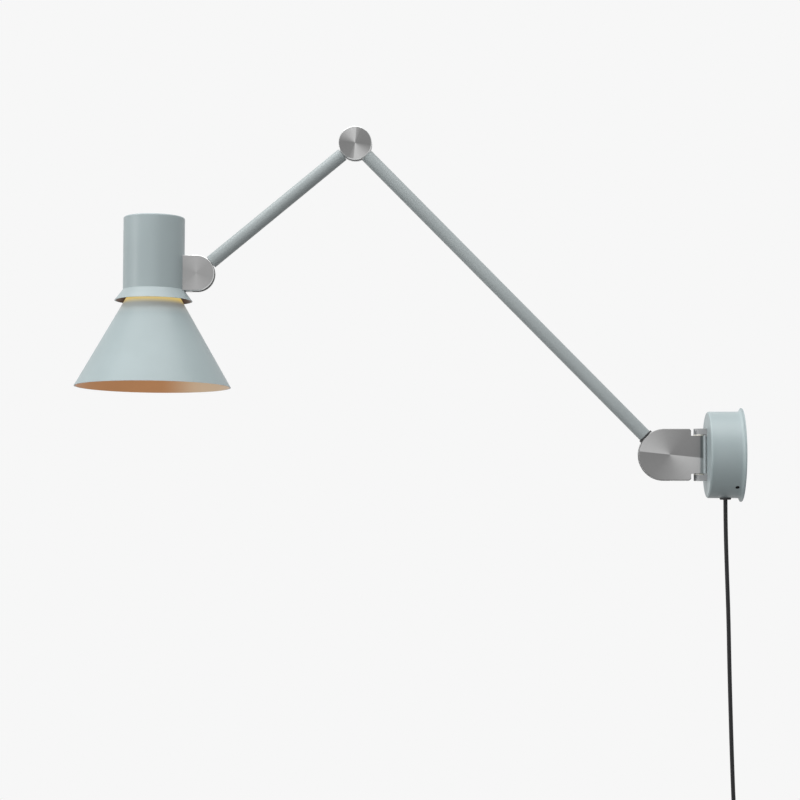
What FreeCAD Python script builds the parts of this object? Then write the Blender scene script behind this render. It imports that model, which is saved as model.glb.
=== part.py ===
# An articulating wall lamp: two tube arms on friction knuckles, a wall cup with a
# vertical swivel, a cone shade under a flared cap, and a thin plug-in lead.
#
# Millimetres and degrees. The origin is the centre of the wall bracket's back face.
# +X points into the wall, +Y runs along the wall and +Z is up, so the lamp reaches
# along -X. Each rigid link has a frame of its own, and its pieces are drawn there.

import FreeCAD, Part
import math
import os
import Sketcher

V = FreeCAD.Vector
doc = FreeCAD.newDocument("WallLamp")
sheet = doc.addObject("Spreadsheet::Sheet", "Sizes")
sheet_aliases = []
pieces = []


# ---- Sizes and their expressions -------------------------------------------------


class Size:
    """A number of the sheet, or one worked out from such numbers, and its expression."""

    def __init__(self, value, text):
        self.value = value
        self.text = text

    def __add__(self, other):
        other = as_size(other)
        return Size(self.value + other.value, f"({self.text} + {other.text})")

    def __sub__(self, other):
        other = as_size(other)
        return Size(self.value - other.value, f"({self.text} - {other.text})")

    def __mul__(self, other):
        other = as_size(other)
        return Size(self.value * other.value, f"({self.text} * {other.text})")

    def __truediv__(self, other):
        other = as_size(other)
        return Size(self.value / other.value, f"({self.text} / {other.text})")

    def __radd__(self, other):
        return as_size(other) + self

    def __rsub__(self, other):
        return as_size(other) - self

    def __rmul__(self, other):
        return as_size(other) * self

    def __neg__(self):
        return Size(-self.value, f"(-{self.text})")


def as_size(number):
    return number if isinstance(number, Size) else Size(float(number), str(float(number)))


def root(number):
    return Size(math.sqrt(number.value), f"sqrt({number.text})")


def sine(angle):
    return Size(math.sin(math.radians(angle.value)), f"sin({angle.text})")


def cosine(angle):
    return Size(math.cos(math.radians(angle.value)), f"cos({angle.text})")


def leg(long_side, short_side):
    """The other short side of a right triangle."""
    return root(long_side * long_side - short_side * short_side)


def size(alias, number, meaning):
    """One row of the sheet: what the number means, the number, and its alias."""
    sheet_aliases.append(alias)
    row = len(sheet_aliases)
    sheet.set(f"A{row}", meaning)
    sheet.set(f"B{row}", str(number))
    sheet.setAlias(f"B{row}", alias)
    return Size(number, f"Sizes.{alias}")


# ---- Driving sizes ---------------------------------------------------------------

lower_arm_length = size("lower_arm_length", 417, "wall pivot to elbow")
lower_arm_rise = size("lower_arm_rise", 45.35, "lower arm above the horizontal at rest")
upper_arm_length = size("upper_arm_length", 195, "elbow to head pivot")
upper_arm_fall = size("upper_arm_fall", 39.55, "upper arm below the horizontal at rest")
head_lean = size("head_lean", 0.3, "lean of the head towards the wall at rest")
tube_radius = size("tube_radius", 6.35, "outside radius of both arm tubes")
tube_wall = size("tube_wall", 1.2, "wall of both arm tubes")
spigot_length = size("spigot_length", 15, "length of a spigot in its tube")

fit_gap = size("fit_gap", 0.05, "radial clearance of a pin in the bore that turns on it")
washer_gap = size("washer_gap", 0.1, "clearance between a washer and the eye beside it")
rim_gap = size("rim_gap", 0.3, "clearance between rims that turn past each other")
seat_gap = size("seat_gap", 0.25, "clearance of a cover on what it slips over")

cup_radius = size("cup_radius", 41, "outside radius of the wall cup")
cup_depth = size("cup_depth", 33, "depth of the wall cup, wall to front face")
cup_wall = size("cup_wall", 1.2, "sheet thickness of the wall cup")
cup_edge = size("cup_edge", 2, "rounding of the wall cup's front edge")
cup_flare = size("cup_flare", 3.4, "how far the wall cup's rim flares out")
cup_lip = size("cup_lip", 1, "straight lip of the wall cup's rim at the wall")
bracket_plate = size("bracket_plate", 2, "thickness of the wall bracket's plate")
bracket_rim = size("bracket_rim", 2.5, "thickness of the wall bracket's rim")
bracket_depth = size("bracket_depth", 9.6, "depth of the wall bracket's rim")
wall_screw_spacing = size("wall_screw_spacing", 50, "distance between the wall screws")
wall_screw_hole = size("wall_screw_hole", 2.6, "radius of a wall screw's hole")
grub_angle = size("grub_angle", 39, "grub screws from the lowest point, each way")
grub_depth = size("grub_depth", 7, "grub screws from the wall")
grub_radius = size("grub_radius", 2, "radius of a grub screw")
grub_length = size("grub_length", 6, "length of a grub screw")

pin_stand_off = size("pin_stand_off", 7.3, "swivel pin in front of the wall cup")
pin_radius = size("pin_radius", 2.5, "radius of the swivel pin")
pin_bevel = size("pin_bevel", 0.5, "bevel of the swivel pin's ends")
lug_width = size("lug_width", 10, "width of a swivel lug")
lug_height = size("lug_height", 5.6, "height of a swivel lug")
swivel_washer = size("swivel_washer", 1, "thickness of a swivel washer")
lug_screw = size("lug_screw", 2, "radius of a lug screw")
lug_screw_bite = size("lug_screw_bite", 3.5, "how deep a lug screw goes into its lug")
lug_screw_head = size("lug_screw_head", 3.5, "radius of a lug screw's head")
lug_screw_head_height = size("lug_screw_head_height", 2.4, "height of that head")
backing_plate = size("backing_plate", 2, "thickness of the plate behind the lugs")
backing_width = size("backing_width", 14, "width of the plate behind the lugs")
backing_length = size("backing_length", 62, "length of the plate behind the lugs")

pivot_stand_off = size("pivot_stand_off", 33.1, "wall pivot in front of the swivel pin")
block_back = size("block_back", 25.1, "wall pivot to the wall knuckle's back face")
block_corner = size("block_corner", 1.5, "bevel of the wall knuckle's back corners")
tongue_height = size("tongue_height", 35.6, "height of the wall knuckle's tongue")
saddle_radius = size("saddle_radius", 7.4, "radius of the black saddle on the tube")
saddle_web = size("saddle_web", 1, "thinnest part of the saddle")
cover_bevel = size("cover_bevel", 0.5, "bevel round a cover's face")
socket_radius = size("socket_radius", 2, "radius of the socket in a pivot bolt")
socket_depth = size("socket_depth", 1, "depth of the socket in a pivot bolt")
elbow_web_width = size("elbow_web_width", 8, "width of the web between the elbow's cheeks")

shade_offset = size("shade_offset", 41.1, "head pivot to the shade's axis")
cap_top = size("cap_top", 53.4, "top of the cap above the head pivot")
cap_radius = size("cap_radius", 29, "outside radius of the cap's cylinder")
cap_wall = size("cap_wall", 1.2, "sheet thickness of the cap")
cap_edge = size("cap_edge", 1.6, "rounding of the cap's top edge")
flare_drop = size("flare_drop", 15.9, "start of the flare below the head pivot")
flare_rim_drop = size("flare_rim_drop", 26.2, "rim of the flare below the head pivot")
flare_rim_radius = size("flare_rim_radius", 36.8, "radius of the flare's rim")
cone_mouth_drop = size("cone_mouth_drop", 108, "mouth of the cone below the head pivot")
cone_mouth_radius = size("cone_mouth_radius", 73.9, "radius of the cone's mouth")
cone_neck_radius = size("cone_neck_radius", 20.9, "radius of the cone's neck")
cone_neck_drop = size("cone_neck_drop", 15.1, "neck of the cone below the head pivot")
cone_wall = size("cone_wall", 1, "sheet thickness of the cone")
neck_flange = size("neck_flange", 3.2, "width of the flange turned in at the neck")

knuckle_screw = size("knuckle_screw", 1.5, "radius of a screw that holds the cap")
knuckle_screw_rise = size("knuckle_screw_rise", 10.5, "those screws from the pivot level")
knuckle_screw_end = size("knuckle_screw_end", 6, "end of those screws from the head pivot")
knuckle_screw_head = size("knuckle_screw_head", 2.8, "radius of those screws' heads")
knuckle_screw_head_height = size("knuckle_screw_head_height", 2, "height of those heads")
bracket_strap = size("bracket_strap", 2, "thickness of the bracket in the cap")
bracket_strap_width = size("bracket_strap_width", 16, "width of the bracket in the cap")
bracket_leg_drop = size("bracket_leg_drop", 15, "lower end of that bracket's leg")
bracket_shelf_rise = size("bracket_shelf_rise", 14, "underside of that bracket's shelf")
nipple_radius = size("nipple_radius", 5, "outside radius of the threaded nipple")
nipple_bore = size("nipple_bore", 3.8, "bore radius of the threaded nipple")
nipple_nut = size("nipple_nut", 8, "radius of the nipple's nut")
nipple_nut_height = size("nipple_nut_height", 4, "height of the nipple's nut")

housing_radius = size("housing_radius", 14.5, "outside radius of the lampholder housing")
housing_wall = size("housing_wall", 1.8, "wall of the lampholder housing")
housing_taper = size("housing_taper", 6, "height of the housing's tapered top")
housing_top_radius = size("housing_top_radius", 9, "radius of the housing's top")
spider_plate = size("spider_plate", 1.5, "thickness of the spider")
spider_band = size("spider_band", 2.6, "width of each of the spider's rings")
spider_arm = size("spider_arm", 5, "width of a spider arm")
ring_nut_height = size("ring_nut_height", 5, "height of the shade ring nut")
skirt_radius = size("skirt_radius", 12.5, "outside radius of the lampholder skirt")
skirt_drop = size("skirt_drop", 44, "lower edge of the skirt below the head pivot")
skirt_floor_drop = size("skirt_floor_drop", 17, "floor of the skirt below the pivot")
skirt_floor = size("skirt_floor", 12, "thickness of the skirt's floor")
shell_radius = size("shell_radius", 8.2, "outside radius of the threaded shell")
shell_wall = size("shell_wall", 0.9, "wall of the threaded shell")
shell_length = size("shell_length", 23, "length of the threaded shell")
contact_radius = size("contact_radius", 4, "radius of the centre contact")
contact_thickness = size("contact_thickness", 3, "thickness of the centre contact")
bulb_base_radius = size("bulb_base_radius", 7, "radius of the bulb's threaded base")
bulb_base_length = size("bulb_base_length", 24, "length of the bulb's base")
bulb_tip = size("bulb_tip", 3, "length of the insulator and contact on the base")
bulb_neck_radius = size("bulb_neck_radius", 7.5, "radius of the glass at the base")
bulb_radius = size("bulb_radius", 22.5, "radius of the bulb's globe")
bulb_wall = size("bulb_wall", 0.8, "wall of the bulb's glass")
bulb_globe_angle = size("bulb_globe_angle", 50, "where the globe meets the neck")
bulb_glass_length = size("bulb_glass_length", 53, "length of the glass")

switch_body_radius = size("switch_body_radius", 9, "radius of the switch body")
switch_body_height = size("switch_body_height", 14, "height of the switch body")
switch_barrel = size("switch_barrel", 5.5, "radius of the switch's threaded barrel")
switch_barrel_rise = size("switch_barrel_rise", 1, "barrel above the cap")
switch_bezel_radius = size("switch_bezel_radius", 8.5, "radius of the bezel nut")
switch_bezel_height = size("switch_bezel_height", 1.8, "height of the bezel nut")
button_radius = size("button_radius", 3.5, "radius of the push button")
button_length = size("button_length", 7, "length of the push button")
button_rise = size("button_rise", 3.4, "push button above the cap")
button_travel = size("button_travel", 1.5, "travel of the push button")
button_dome = size("button_dome", 0.7, "bevel of the push button's top")

terminal_depth = size("terminal_depth", 12, "depth of the terminal block")
terminal_width = size("terminal_width", 20, "width of the terminal block")
terminal_foot = size("terminal_foot", -8, "lower end of the terminal block")
terminal_head = size("terminal_head", 12, "upper end of the terminal block")
terminal_pitch = size("terminal_pitch", 9, "distance between the two terminals")
terminal_axis = size("terminal_axis", 8, "terminals from the wall")
insert_radius = size("insert_radius", 1.7, "radius of a terminal's brass insert")
terminal_well = size("terminal_well", 2, "radius of a terminal's screw well")

lead_radius = size("lead_radius", 2, "radius of the lead")
lead_exit = size("lead_exit", 15.3, "lead from the wall, where it leaves the cup")
core_radius = size("core_radius", 1.1, "radius of a lead core")
core_pitch = size("core_pitch", 3, "distance between the cores in the bush")
bush_radius = size("bush_radius", 5.45, "radius of the bush's outer flange")
bush_flange = size("bush_flange", 1.5, "thickness of the bush's outer flange")
bush_bevel = size("bush_bevel", 0.6, "bevel of the bush's outer flange")
bush_neck = size("bush_neck", 4.4, "radius of the bush's neck")
bush_grip = size("bush_grip", 0.4, "play of the bush on the curved cup")
bush_inner_flange = size("bush_inner_flange", 1.4, "thickness of the inner flange")

coil_mean_radius = size("coil_mean_radius", 23, "mean radius of the coiled lead's turns")
coil_layers = 4
coil_quarters_per_layer = 11
coil_pitch_gap = size("coil_pitch_gap", 0.45, "clearance between turns of the coil")
coil_wall_gap = size("coil_wall_gap", 1.2, "coil from the wall")
coil_side = size("coil_side", -12, "coil's centre along the wall")
coil_drop = size("coil_drop", 406, "coil's centre below the wall cup's axis")
tie_width = size("tie_width", 6, "width of the tie round the coil")
tie_thickness = size("tie_thickness", 0.8, "thickness of the tie")
tail_length = size("tail_length", 14, "straight lead between the coil and the plug")
relief_length = size("relief_length", 22, "length of the plug's strain relief")
relief_thin = size("relief_thin", 2.9, "radius of the relief at the lead")
relief_thick = size("relief_thick", 4.4, "radius of the relief at the plug")
plug_length = size("plug_length", 34, "length of the plug's body")
plug_width = size("plug_width", 35.3, "width of the plug's body")
plug_neck_width = size("plug_neck_width", 12, "width of the body at the relief")
plug_face_width = size("plug_face_width", 27, "width of the face with the pins")
plug_thickness = size("plug_thickness", 13.7, "thickness of the plug's body")
plug_shoulder = size("plug_shoulder", 13, "length of the sloping shoulder")
plug_chin = size("plug_chin", 4, "length of the slope towards the pins")
plug_rounding = size("plug_rounding", 2.5, "rounding of the plug's body")
plug_pin_radius = size("plug_pin_radius", 2, "radius of a plug pin")
plug_pin_length = size("plug_pin_length", 19, "length of a plug pin")
plug_pin_pitch = size("plug_pin_pitch", 18.6, "distance between the plug pins")
plug_pin_bevel = size("plug_pin_bevel", 0.9, "bevel of a plug pin's tip")


class Joint:
    """The sizes of one friction knuckle: what its fork, eye, bolt and washers share."""

    def __init__(self, name, radius, width, cover, eye_radius, eye_width, stem, washer, bolt, head):
        self.name = name
        self.radius = size(f"{name}_radius", radius, f"rim radius of the {name}")
        self.width = size(f"{name}_width", width, f"width of the {name} over its covers")
        self.cover = size(f"{name}_cover", cover, f"thickness of a cover of the {name}")
        self.eye_radius = size(f"{name}_eye_radius", eye_radius, f"eye radius, {name}")
        self.eye_width = size(f"{name}_eye_width", eye_width, f"eye thickness, {name}")
        self.stem = size(f"{name}_stem", stem, f"width of the eye's stem, {name}")
        self.washer = size(f"{name}_washer", washer, f"washer thickness, {name}")
        self.bolt = size(f"{name}_bolt", bolt, f"pivot bolt radius, {name}")
        self.head = size(f"{name}_bolt_head", head, f"pivot bolt head radius, {name}")
        self.core = self.width - self.cover * 2
        self.slot = self.eye_width + (self.washer + washer_gap) * 2
        self.room = self.eye_radius + rim_gap
        self.mouth = self.stem / 2 + rim_gap


wall_joint = Joint("wall_knuckle", 24.4, 14, 1.5, 14, 5.4, 10, 0.5, 4, 8)
elbow_joint = Joint("elbow", 15.8, 14, 1, 9.5, 5.4, 8, 0.5, 3, 6)
head_joint = Joint("head_knuckle", 16.9, 14, 1.5, 8.5, 5.4, 8, 0.5, 3, 6)

tube_bore = tube_radius - tube_wall
wall_reach = wall_joint.radius + rim_gap + saddle_web


# ---- Frames of the rigid links ---------------------------------------------------


def frame(name, x, y, z, axis=V(0, 1, 0), turn=0):
    """A named placement, bound to the sheet, that carries the pieces of one link."""
    item = doc.addObject("App::Placement", name)
    base = [as_size(number) for number in (x, y, z)]
    angle = as_size(turn)
    rotation = FreeCAD.Rotation(axis, angle.value)
    item.Placement = FreeCAD.Placement(V(*[number.value for number in base]), rotation)
    for letter, number in zip("xyz", base):
        item.setExpression(f".Placement.Base.{letter}", number.text)
    if isinstance(turn, Size):
        item.setExpression(".Placement.Rotation.Angle", angle.text)
    return item


X_AXIS = V(1, 0, 0)
Z_AXIS = V(0, 0, 1)

pin_x = -(cup_depth + pin_stand_off)
wall_pivot_x = pin_x - pivot_stand_off
elbow_x = wall_pivot_x - lower_arm_length * cosine(lower_arm_rise)
elbow_z = lower_arm_length * sine(lower_arm_rise)
head_x = elbow_x - upper_arm_length * cosine(upper_arm_fall)
head_z = elbow_z - upper_arm_length * sine(upper_arm_fall)
shade_x = head_x - shade_offset * cosine(head_lean)
shade_z = head_z + shade_offset * sine(head_lean)

# Z out of the wall, X up
wall_frame = frame("wall_frame", 0, 0, 0, turn=-90)
room_frame = frame("room_frame", 0, 0, 0)
swivel_frame = frame("swivel_frame", pin_x, 0, 0)
# X away from the wall
wall_fork_frame = frame("wall_fork_frame", wall_pivot_x, 0, 0, Z_AXIS, 180)
# Z along each arm, from the wall outwards
lower_arm_frame = frame("lower_arm_frame", wall_pivot_x, 0, 0, turn=lower_arm_rise - 90)
elbow_fork_frame = frame("elbow_fork_frame", elbow_x, 0, elbow_z, turn=lower_arm_rise - 90)
upper_arm_frame = frame("upper_arm_frame", elbow_x, 0, elbow_z, turn=-(upper_arm_fall + 90))
# Z back along the upper arm
head_eye_frame = frame("head_eye_frame", head_x, 0, head_z, turn=90 - upper_arm_fall)
head_frame = frame("head_frame", head_x, 0, head_z, turn=head_lean)
shade_frame = frame("shade_frame", shade_x, 0, shade_z, turn=head_lean)
# Z down, out of the bottom of the cup
bush_frame = frame("bush_frame", -lead_exit, 0, -cup_radius, X_AXIS, 180)


# ---- Sketches --------------------------------------------------------------------


class Arc:
    """The round stretch up to a corner (x, y) of an outline.

    Its two ends are corners of the outline, so one coordinate of its centre is
    enough to hold it, the one that fixed names. The other is left to the sketch.
    """

    def __init__(self, x, y, centre_x, centre_y, fixed, clockwise=False):
        self.corner = (x, y)
        self.centre = (centre_x, centre_y)
        self.fixed = fixed
        self.clockwise = clockwise


class Circle:
    """A whole circle."""

    def __init__(self, x, y, radius):
        self.centre = (x, y)
        self.radius = as_size(radius)


def corner_of(entry):
    return entry.corner if isinstance(entry, Arc) else entry


def flat(place):
    return V(as_size(place[0]).value, as_size(place[1]).value, 0)


def hold(sketch, geometry, position, kind, number):
    """Holds one coordinate of a point: on the axis if it is 0, else at its size."""
    axis = {"DistanceX": -2, "DistanceY": -1}[kind]
    if not isinstance(number, Size) and number == 0:
        sketch.addConstraint(Sketcher.Constraint("PointOnObject", geometry, position, axis))
        return
    number = as_size(number)
    constraint = Sketcher.Constraint(kind, -1, 1, geometry, position, number.value)
    index = sketch.addConstraint(constraint)
    sketch.setExpression(f"Constraints[{index}]", number.text)


def round_stretch(start, end, centre, clockwise):
    """An arc of a circle about centre; the kernel's own arcs all run anticlockwise."""
    first, last = (end, start) if clockwise else (start, end)
    angles = [math.atan2(p.y - centre.y, p.x - centre.x) for p in (first, last)]
    if angles[1] <= angles[0]:
        angles[1] += 2 * math.pi
    circle = Part.Circle(centre, V(0, 0, 1), (start - centre).Length)
    return Part.ArcOfCircle(circle, angles[0], angles[1])


def draw_outline(sketch, corners):
    """A closed outline: corner to corner in straight lines and arcs."""
    base = sketch.GeometryCount
    count = len(corners)
    ends = []
    for index in range(count):
        after = corners[(index + 1) % count]
        start = flat(corner_of(corners[index]))
        end = flat(corner_of(after))
        if isinstance(after, Arc):
            sketch.addGeometry(round_stretch(start, end, flat(after.centre), after.clockwise), False)
            ends.append((2, 1) if after.clockwise else (1, 2))
        else:
            sketch.addGeometry(Part.LineSegment(start, end), False)
            ends.append((1, 2))
    for index in range(count):
        after = (index + 1) % count
        joint = (base + index, ends[index][1], base + after, ends[after][0])
        sketch.addConstraint(Sketcher.Constraint("Coincident", *joint))
    for index in range(count):
        x, y = corner_of(corners[index])
        hold(sketch, base + index, ends[index][0], "DistanceX", x)
        hold(sketch, base + index, ends[index][0], "DistanceY", y)
        after = corners[(index + 1) % count]
        if isinstance(after, Arc):
            kind = {"x": "DistanceX", "y": "DistanceY"}[after.fixed]
            hold(sketch, base + index, 3, kind, after.centre["xy".index(after.fixed)])


def draw_circle(sketch, circle):
    index = sketch.GeometryCount
    sketch.addGeometry(Part.Circle(flat(circle.centre), V(0, 0, 1), circle.radius.value), False)
    number = sketch.addConstraint(Sketcher.Constraint("Radius", index, circle.radius.value))
    sketch.setExpression(f"Constraints[{number}]", circle.radius.text)
    hold(sketch, index, 3, "DistanceX", circle.centre[0])
    hold(sketch, index, 3, "DistanceY", circle.centre[1])


def sketch_on(body, plane, drawn, offset=0):
    """A sketch on one of the body's own planes, moved along that plane's normal."""
    sketch = body.newObject("Sketcher::SketchObject", f"{body.Name}_sketch")
    support = next(f for f in body.Origin.OriginFeatures if f.Role == plane)
    sketch.AttachmentSupport = (support, [""])
    sketch.MapMode = "FlatFace"
    if isinstance(offset, Size):
        sketch.AttachmentOffset = FreeCAD.Placement(V(0, 0, offset.value), FreeCAD.Rotation())
        sketch.setExpression(".AttachmentOffset.Base.z", offset.text)
    for entry in drawn:
        if isinstance(entry, Circle):
            draw_circle(sketch, entry)
        else:
            draw_outline(sketch, entry)
    return sketch


# ---- Features --------------------------------------------------------------------


def new_body(node, place):
    """A body whose label names the node, carried by the frame of its link."""
    body = doc.addObject("PartDesign::Body", node)
    body.Label = node
    body.AllowCompound = True
    body.setExpression("Placement", f"{place.Name}.Placement")
    pieces.append(body)
    return body


def turned(body, corners, axis="Z"):
    """A profile of (radius, height) corners, turned about the body's Z or Y axis."""
    plane = {"Z": "XZ_Plane", "Y": "XY_Plane"}[axis]
    feature = body.newObject("PartDesign::Revolution", f"{body.Name}_turned")
    feature.Profile = sketch_on(body, plane, [corners])
    feature.ReferenceAxis = (feature.Profile[0], ["V_Axis"])
    feature.Angle = 360
    return feature


def pad(body, plane, drawn, length, offset=0, symmetric=False, back=False):
    """The drawn shapes, made length thick."""
    feature = body.newObject("PartDesign::Pad", f"{body.Name}_pad")
    feature.Profile = sketch_on(body, plane, drawn, offset)
    feature.SideType = "Symmetric" if symmetric else "One side"
    feature.Reversed = back
    feature.setExpression("Length", as_size(length).text)
    return feature


def pocket(body, plane, drawn, offset=0, symmetric=False, length=None, back=False):
    """The drawn shapes, cut right through or to a depth."""
    doc.recompute()
    feature = body.newObject("PartDesign::Pocket", f"{body.Name}_pocket")
    feature.Profile = sketch_on(body, plane, drawn, offset)
    feature.SideType = "Symmetric" if symmetric else "One side"
    feature.Reversed = back
    if length is None:
        feature.Type = "ThroughAll"
    else:
        feature.setExpression("Length", as_size(length).text)
    return feature


def grooved(body, corners, shift):
    """Cuts a profile turned about the axis parallel to Z that lies shift along X."""
    doc.recompute()
    feature = body.newObject("PartDesign::Groove", f"{body.Name}_groove")
    sketch = sketch_on(body, "XZ_Plane", [corners])
    sketch.AttachmentOffset = FreeCAD.Placement(V(shift.value, 0, 0), FreeCAD.Rotation())
    sketch.setExpression(".AttachmentOffset.Base.x", shift.text)
    feature.Profile = sketch
    feature.ReferenceAxis = (sketch, ["V_Axis"])
    feature.Angle = 360
    return feature


def bevel(body, feature, chosen, depth, kind="Chamfer"):
    """Bevels or rounds the edges of a feature that the test picks."""
    doc.recompute()
    names = [f"Edge{n}" for n, edge in enumerate(feature.Shape.Edges, 1) if chosen(edge)]
    dressed = body.newObject(f"PartDesign::{kind}", f"{body.Name}_{kind.lower()}")
    dressed.Base = (feature, names)
    dressed.setExpression({"Chamfer": "Size", "Fillet": "Radius"}[kind], depth.text)
    return dressed


def lies_at(letter, height):
    """A test for edges that lie wholly in the plane letter = height."""
    low, high = letter.upper() + "Min", letter.upper() + "Max"

    def test(edge):
        box = edge.BoundBox
        return max(abs(getattr(box, low) - height.value), abs(getattr(box, high) - height.value)) < 1e-4

    return test


def rectangle(x_low, x_high, y_low, y_high):
    return [(x_low, y_low), (x_high, y_low), (x_high, y_high), (x_low, y_high)]


def ring_profile(inner, outer, low, high):
    return [(inner, low), (outer, low), (outer, high), (inner, high)]


def rod(name, place, radius, length):
    """A plain cylinder from a frame's origin along its Z."""
    item = doc.addObject("Part::Cylinder", name)
    item.setExpression("Radius", radius.text)
    item.setExpression("Height", length.text)
    item.setExpression("Placement", f"{place.Name}.Placement")
    return item


def drilled(node, body, tools):
    """The body with the tools' shapes cut out, under the body's node name."""
    pieces.remove(body)
    body.Label = f"{node}_blank"
    cut = doc.addObject("Part::Cut", f"{node}_drilled")
    cut.Base = body
    cut.Tool = doc.addObject("Part::MultiFuse", f"{node}_drills") if len(tools) > 1 else tools[0]
    if len(tools) > 1:
        cut.Tool.Shapes = tools
    cut.Label = node
    pieces.append(cut)
    return cut


# ---- Wall bracket and cup --------------------------------------------------------

bracket_radius = cup_radius - cup_wall - seat_gap
cup_inside = cup_depth - cup_wall
plate_front = cup_inside - backing_plate


def grub_frame(name, side, start):
    """A frame on a grub screw's axis, start away from the cup's axis, Z outwards."""
    y = -(sine(grub_angle) * start * side)
    z = -(cosine(grub_angle) * start)
    return frame(name, -grub_depth, y, z, X_AXIS, 180 - grub_angle * side)


def grub_drills(name, radius):
    start = bracket_radius - bracket_rim * 2
    return [rod(f"{name}_{n}", grub_frame(f"{name}_frame_{n}", side, start), radius, grub_length * 2)
            for n, side in enumerate((-1, 1))]


def wall_bracket():
    """Pressed dish that is screwed to the wall; the cup slips over its rim."""
    body = new_body("wall_bracket", wall_frame)
    inside = bracket_radius - bracket_rim
    turned(body, [
        (0, 0),
        (bracket_radius, 0),
        (bracket_radius, bracket_depth),
        (inside, bracket_depth),
        (inside, bracket_plate),
        (0, bracket_plate),
    ])
    holes = [Circle(wall_screw_spacing / 2 * side, 0, wall_screw_hole) for side in (-1, 1)]
    pocket(body, "XY_Plane", holes, symmetric=True)
    drilled("wall_bracket", body, grub_drills("bracket_drill", grub_radius))


def grub_screws():
    """The two screws that lock the cup on the bracket's rim."""
    start = cup_radius - rim_gap - grub_length
    screws = [rod(f"grub_{n}", grub_frame(f"grub_screw_frame_{n}", side, start), grub_radius, grub_length)
              for n, side in enumerate((-1, 1))]
    group = doc.addObject("Part::Compound", "grub_screws")
    group.Links = screws
    group.Label = "cup_grub_screws"
    pieces.append(group)


def wall_cup():
    """Spun cup with a trumpet rim at the wall, holes for lugs, lead and grub screws."""
    body = new_body("wall_cup", wall_frame)
    rim_radius = cup_radius + cup_flare
    flare_top = cup_lip + cup_flare
    flare_inside = cup_flare + cup_wall
    turned(body, [
        (0, cup_depth),
        (0, cup_inside),
        (cup_radius - cup_edge, cup_inside),
        Arc(cup_radius - cup_wall, cup_depth - cup_edge,
            cup_radius - cup_edge, cup_depth - cup_edge, "x", clockwise=True),
        (cup_radius - cup_wall, flare_top),
        Arc(rim_radius - leg(flare_inside, flare_top), 0, rim_radius, flare_top, "x"),
        (rim_radius, 0),
        (rim_radius, cup_lip),
        Arc(cup_radius, flare_top, rim_radius, flare_top, "x", clockwise=True),
        (cup_radius, cup_depth - cup_edge),
        Arc(cup_radius - cup_edge, cup_depth, cup_radius - cup_edge, cup_depth - cup_edge, "x"),
    ])
    lug_holes = [Circle(lug_middle * side, 0, lug_screw) for side in (-1, 1)]
    pocket(body, "XY_Plane", lug_holes, back=True)
    lead_drill = rod("lead_drill", bush_drill_frame, bush_neck, bush_neck * 2)
    drilled("wall_cup", body, grub_drills("cup_drill", grub_radius) + [lead_drill])


bush_drill_frame = frame("bush_drill_frame", -lead_exit, 0, -cup_radius - bush_neck)


# ---- Vertical swivel -------------------------------------------------------------

tongue_half = tongue_height / 2
lug_low = tongue_half + rim_gap + swivel_washer
lug_high = lug_low + lug_height
lug_middle = lug_low + lug_height / 2


def swivel_lug(node, side):
    """A lug on the cup's front: round about the swivel pin, flat against the cup."""
    body = new_body(node, swivel_frame)
    half = lug_width / 2
    outline = [(pin_stand_off, -half), (pin_stand_off, half), (0, half), Arc(0, -half, 0, 0, "x")]
    base = lug_low if side > 0 else -lug_high
    pad(body, "XY_Plane", [outline], lug_height, offset=base)
    pocket(body, "XY_Plane", [Circle(0, 0, pin_radius)], symmetric=True)
    screw_end = pin_stand_off - lug_screw_bite
    screw = [Circle(0, lug_middle * side, lug_screw)]
    pocket(body, "YZ_Plane", screw, offset=screw_end, back=True)


def swivel_pin():
    body = new_body("swivel_pin", swivel_frame)
    turned(body, [
        (0, -lug_high),
        (pin_radius - pin_bevel, -lug_high),
        (pin_radius, -lug_high + pin_bevel),
        (pin_radius, lug_high - pin_bevel),
        (pin_radius - pin_bevel, lug_high),
        (0, lug_high),
    ])


def swivel_washers():
    """A washer against each lug, on the swivel pin."""
    body = new_body("swivel_washers", swivel_frame)
    ring = [Circle(0, 0, lug_width / 2), Circle(0, 0, pin_radius)]
    pad(body, "XY_Plane", ring, swivel_washer, offset=lug_low - swivel_washer)
    pad(body, "XY_Plane", ring, swivel_washer, offset=-lug_low)


def lug_backing_plate():
    """Stiffens the cup's front behind the lugs."""
    body = new_body("lug_backing_plate", wall_frame)
    outline = rectangle(-backing_length / 2, backing_length / 2, -backing_width / 2, backing_width / 2)
    pad(body, "XY_Plane", [outline], backing_plate, offset=plate_front)
    holes = [Circle(lug_middle * side, 0, lug_screw) for side in (-1, 1)]
    pocket(body, "XY_Plane", holes, back=True)


def lug_screws():
    """Pan-head screws from inside the cup into the lugs."""
    body = new_body("lug_screws", wall_frame)
    shanks = [Circle(lug_middle * side, 0, lug_screw) for side in (-1, 1)]
    heads = [Circle(lug_middle * side, 0, lug_screw_head) for side in (-1, 1)]
    pad(body, "XY_Plane", shanks, backing_plate + cup_wall + lug_screw_bite, offset=plate_front)
    pad(body, "XY_Plane", heads, lug_screw_head_height, offset=plate_front - lug_screw_head_height)


# ---- Friction knuckles -----------------------------------------------------------


def cover_offset(joint, side):
    """Where a cover's sketch lies on the XZ plane, whose normal is -Y."""
    return joint.core / 2 if side < 0 else -joint.width / 2


def block_outline(joint, back, corner):
    """The D of a knuckle block: round in front, flat above, below and behind."""
    rear = [(-back, -joint.radius), Arc(0, joint.radius, 0, 0, "x"), (-back, joint.radius)]
    if corner is None:
        return [rear[0], (0, -joint.radius), rear[1], rear[2]]
    return [
        (-back + corner, -joint.radius),
        (0, -joint.radius),
        rear[1],
        (-back + corner, joint.radius),
        (-back, joint.radius - corner),
        (-back, -joint.radius + corner),
    ]


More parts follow.
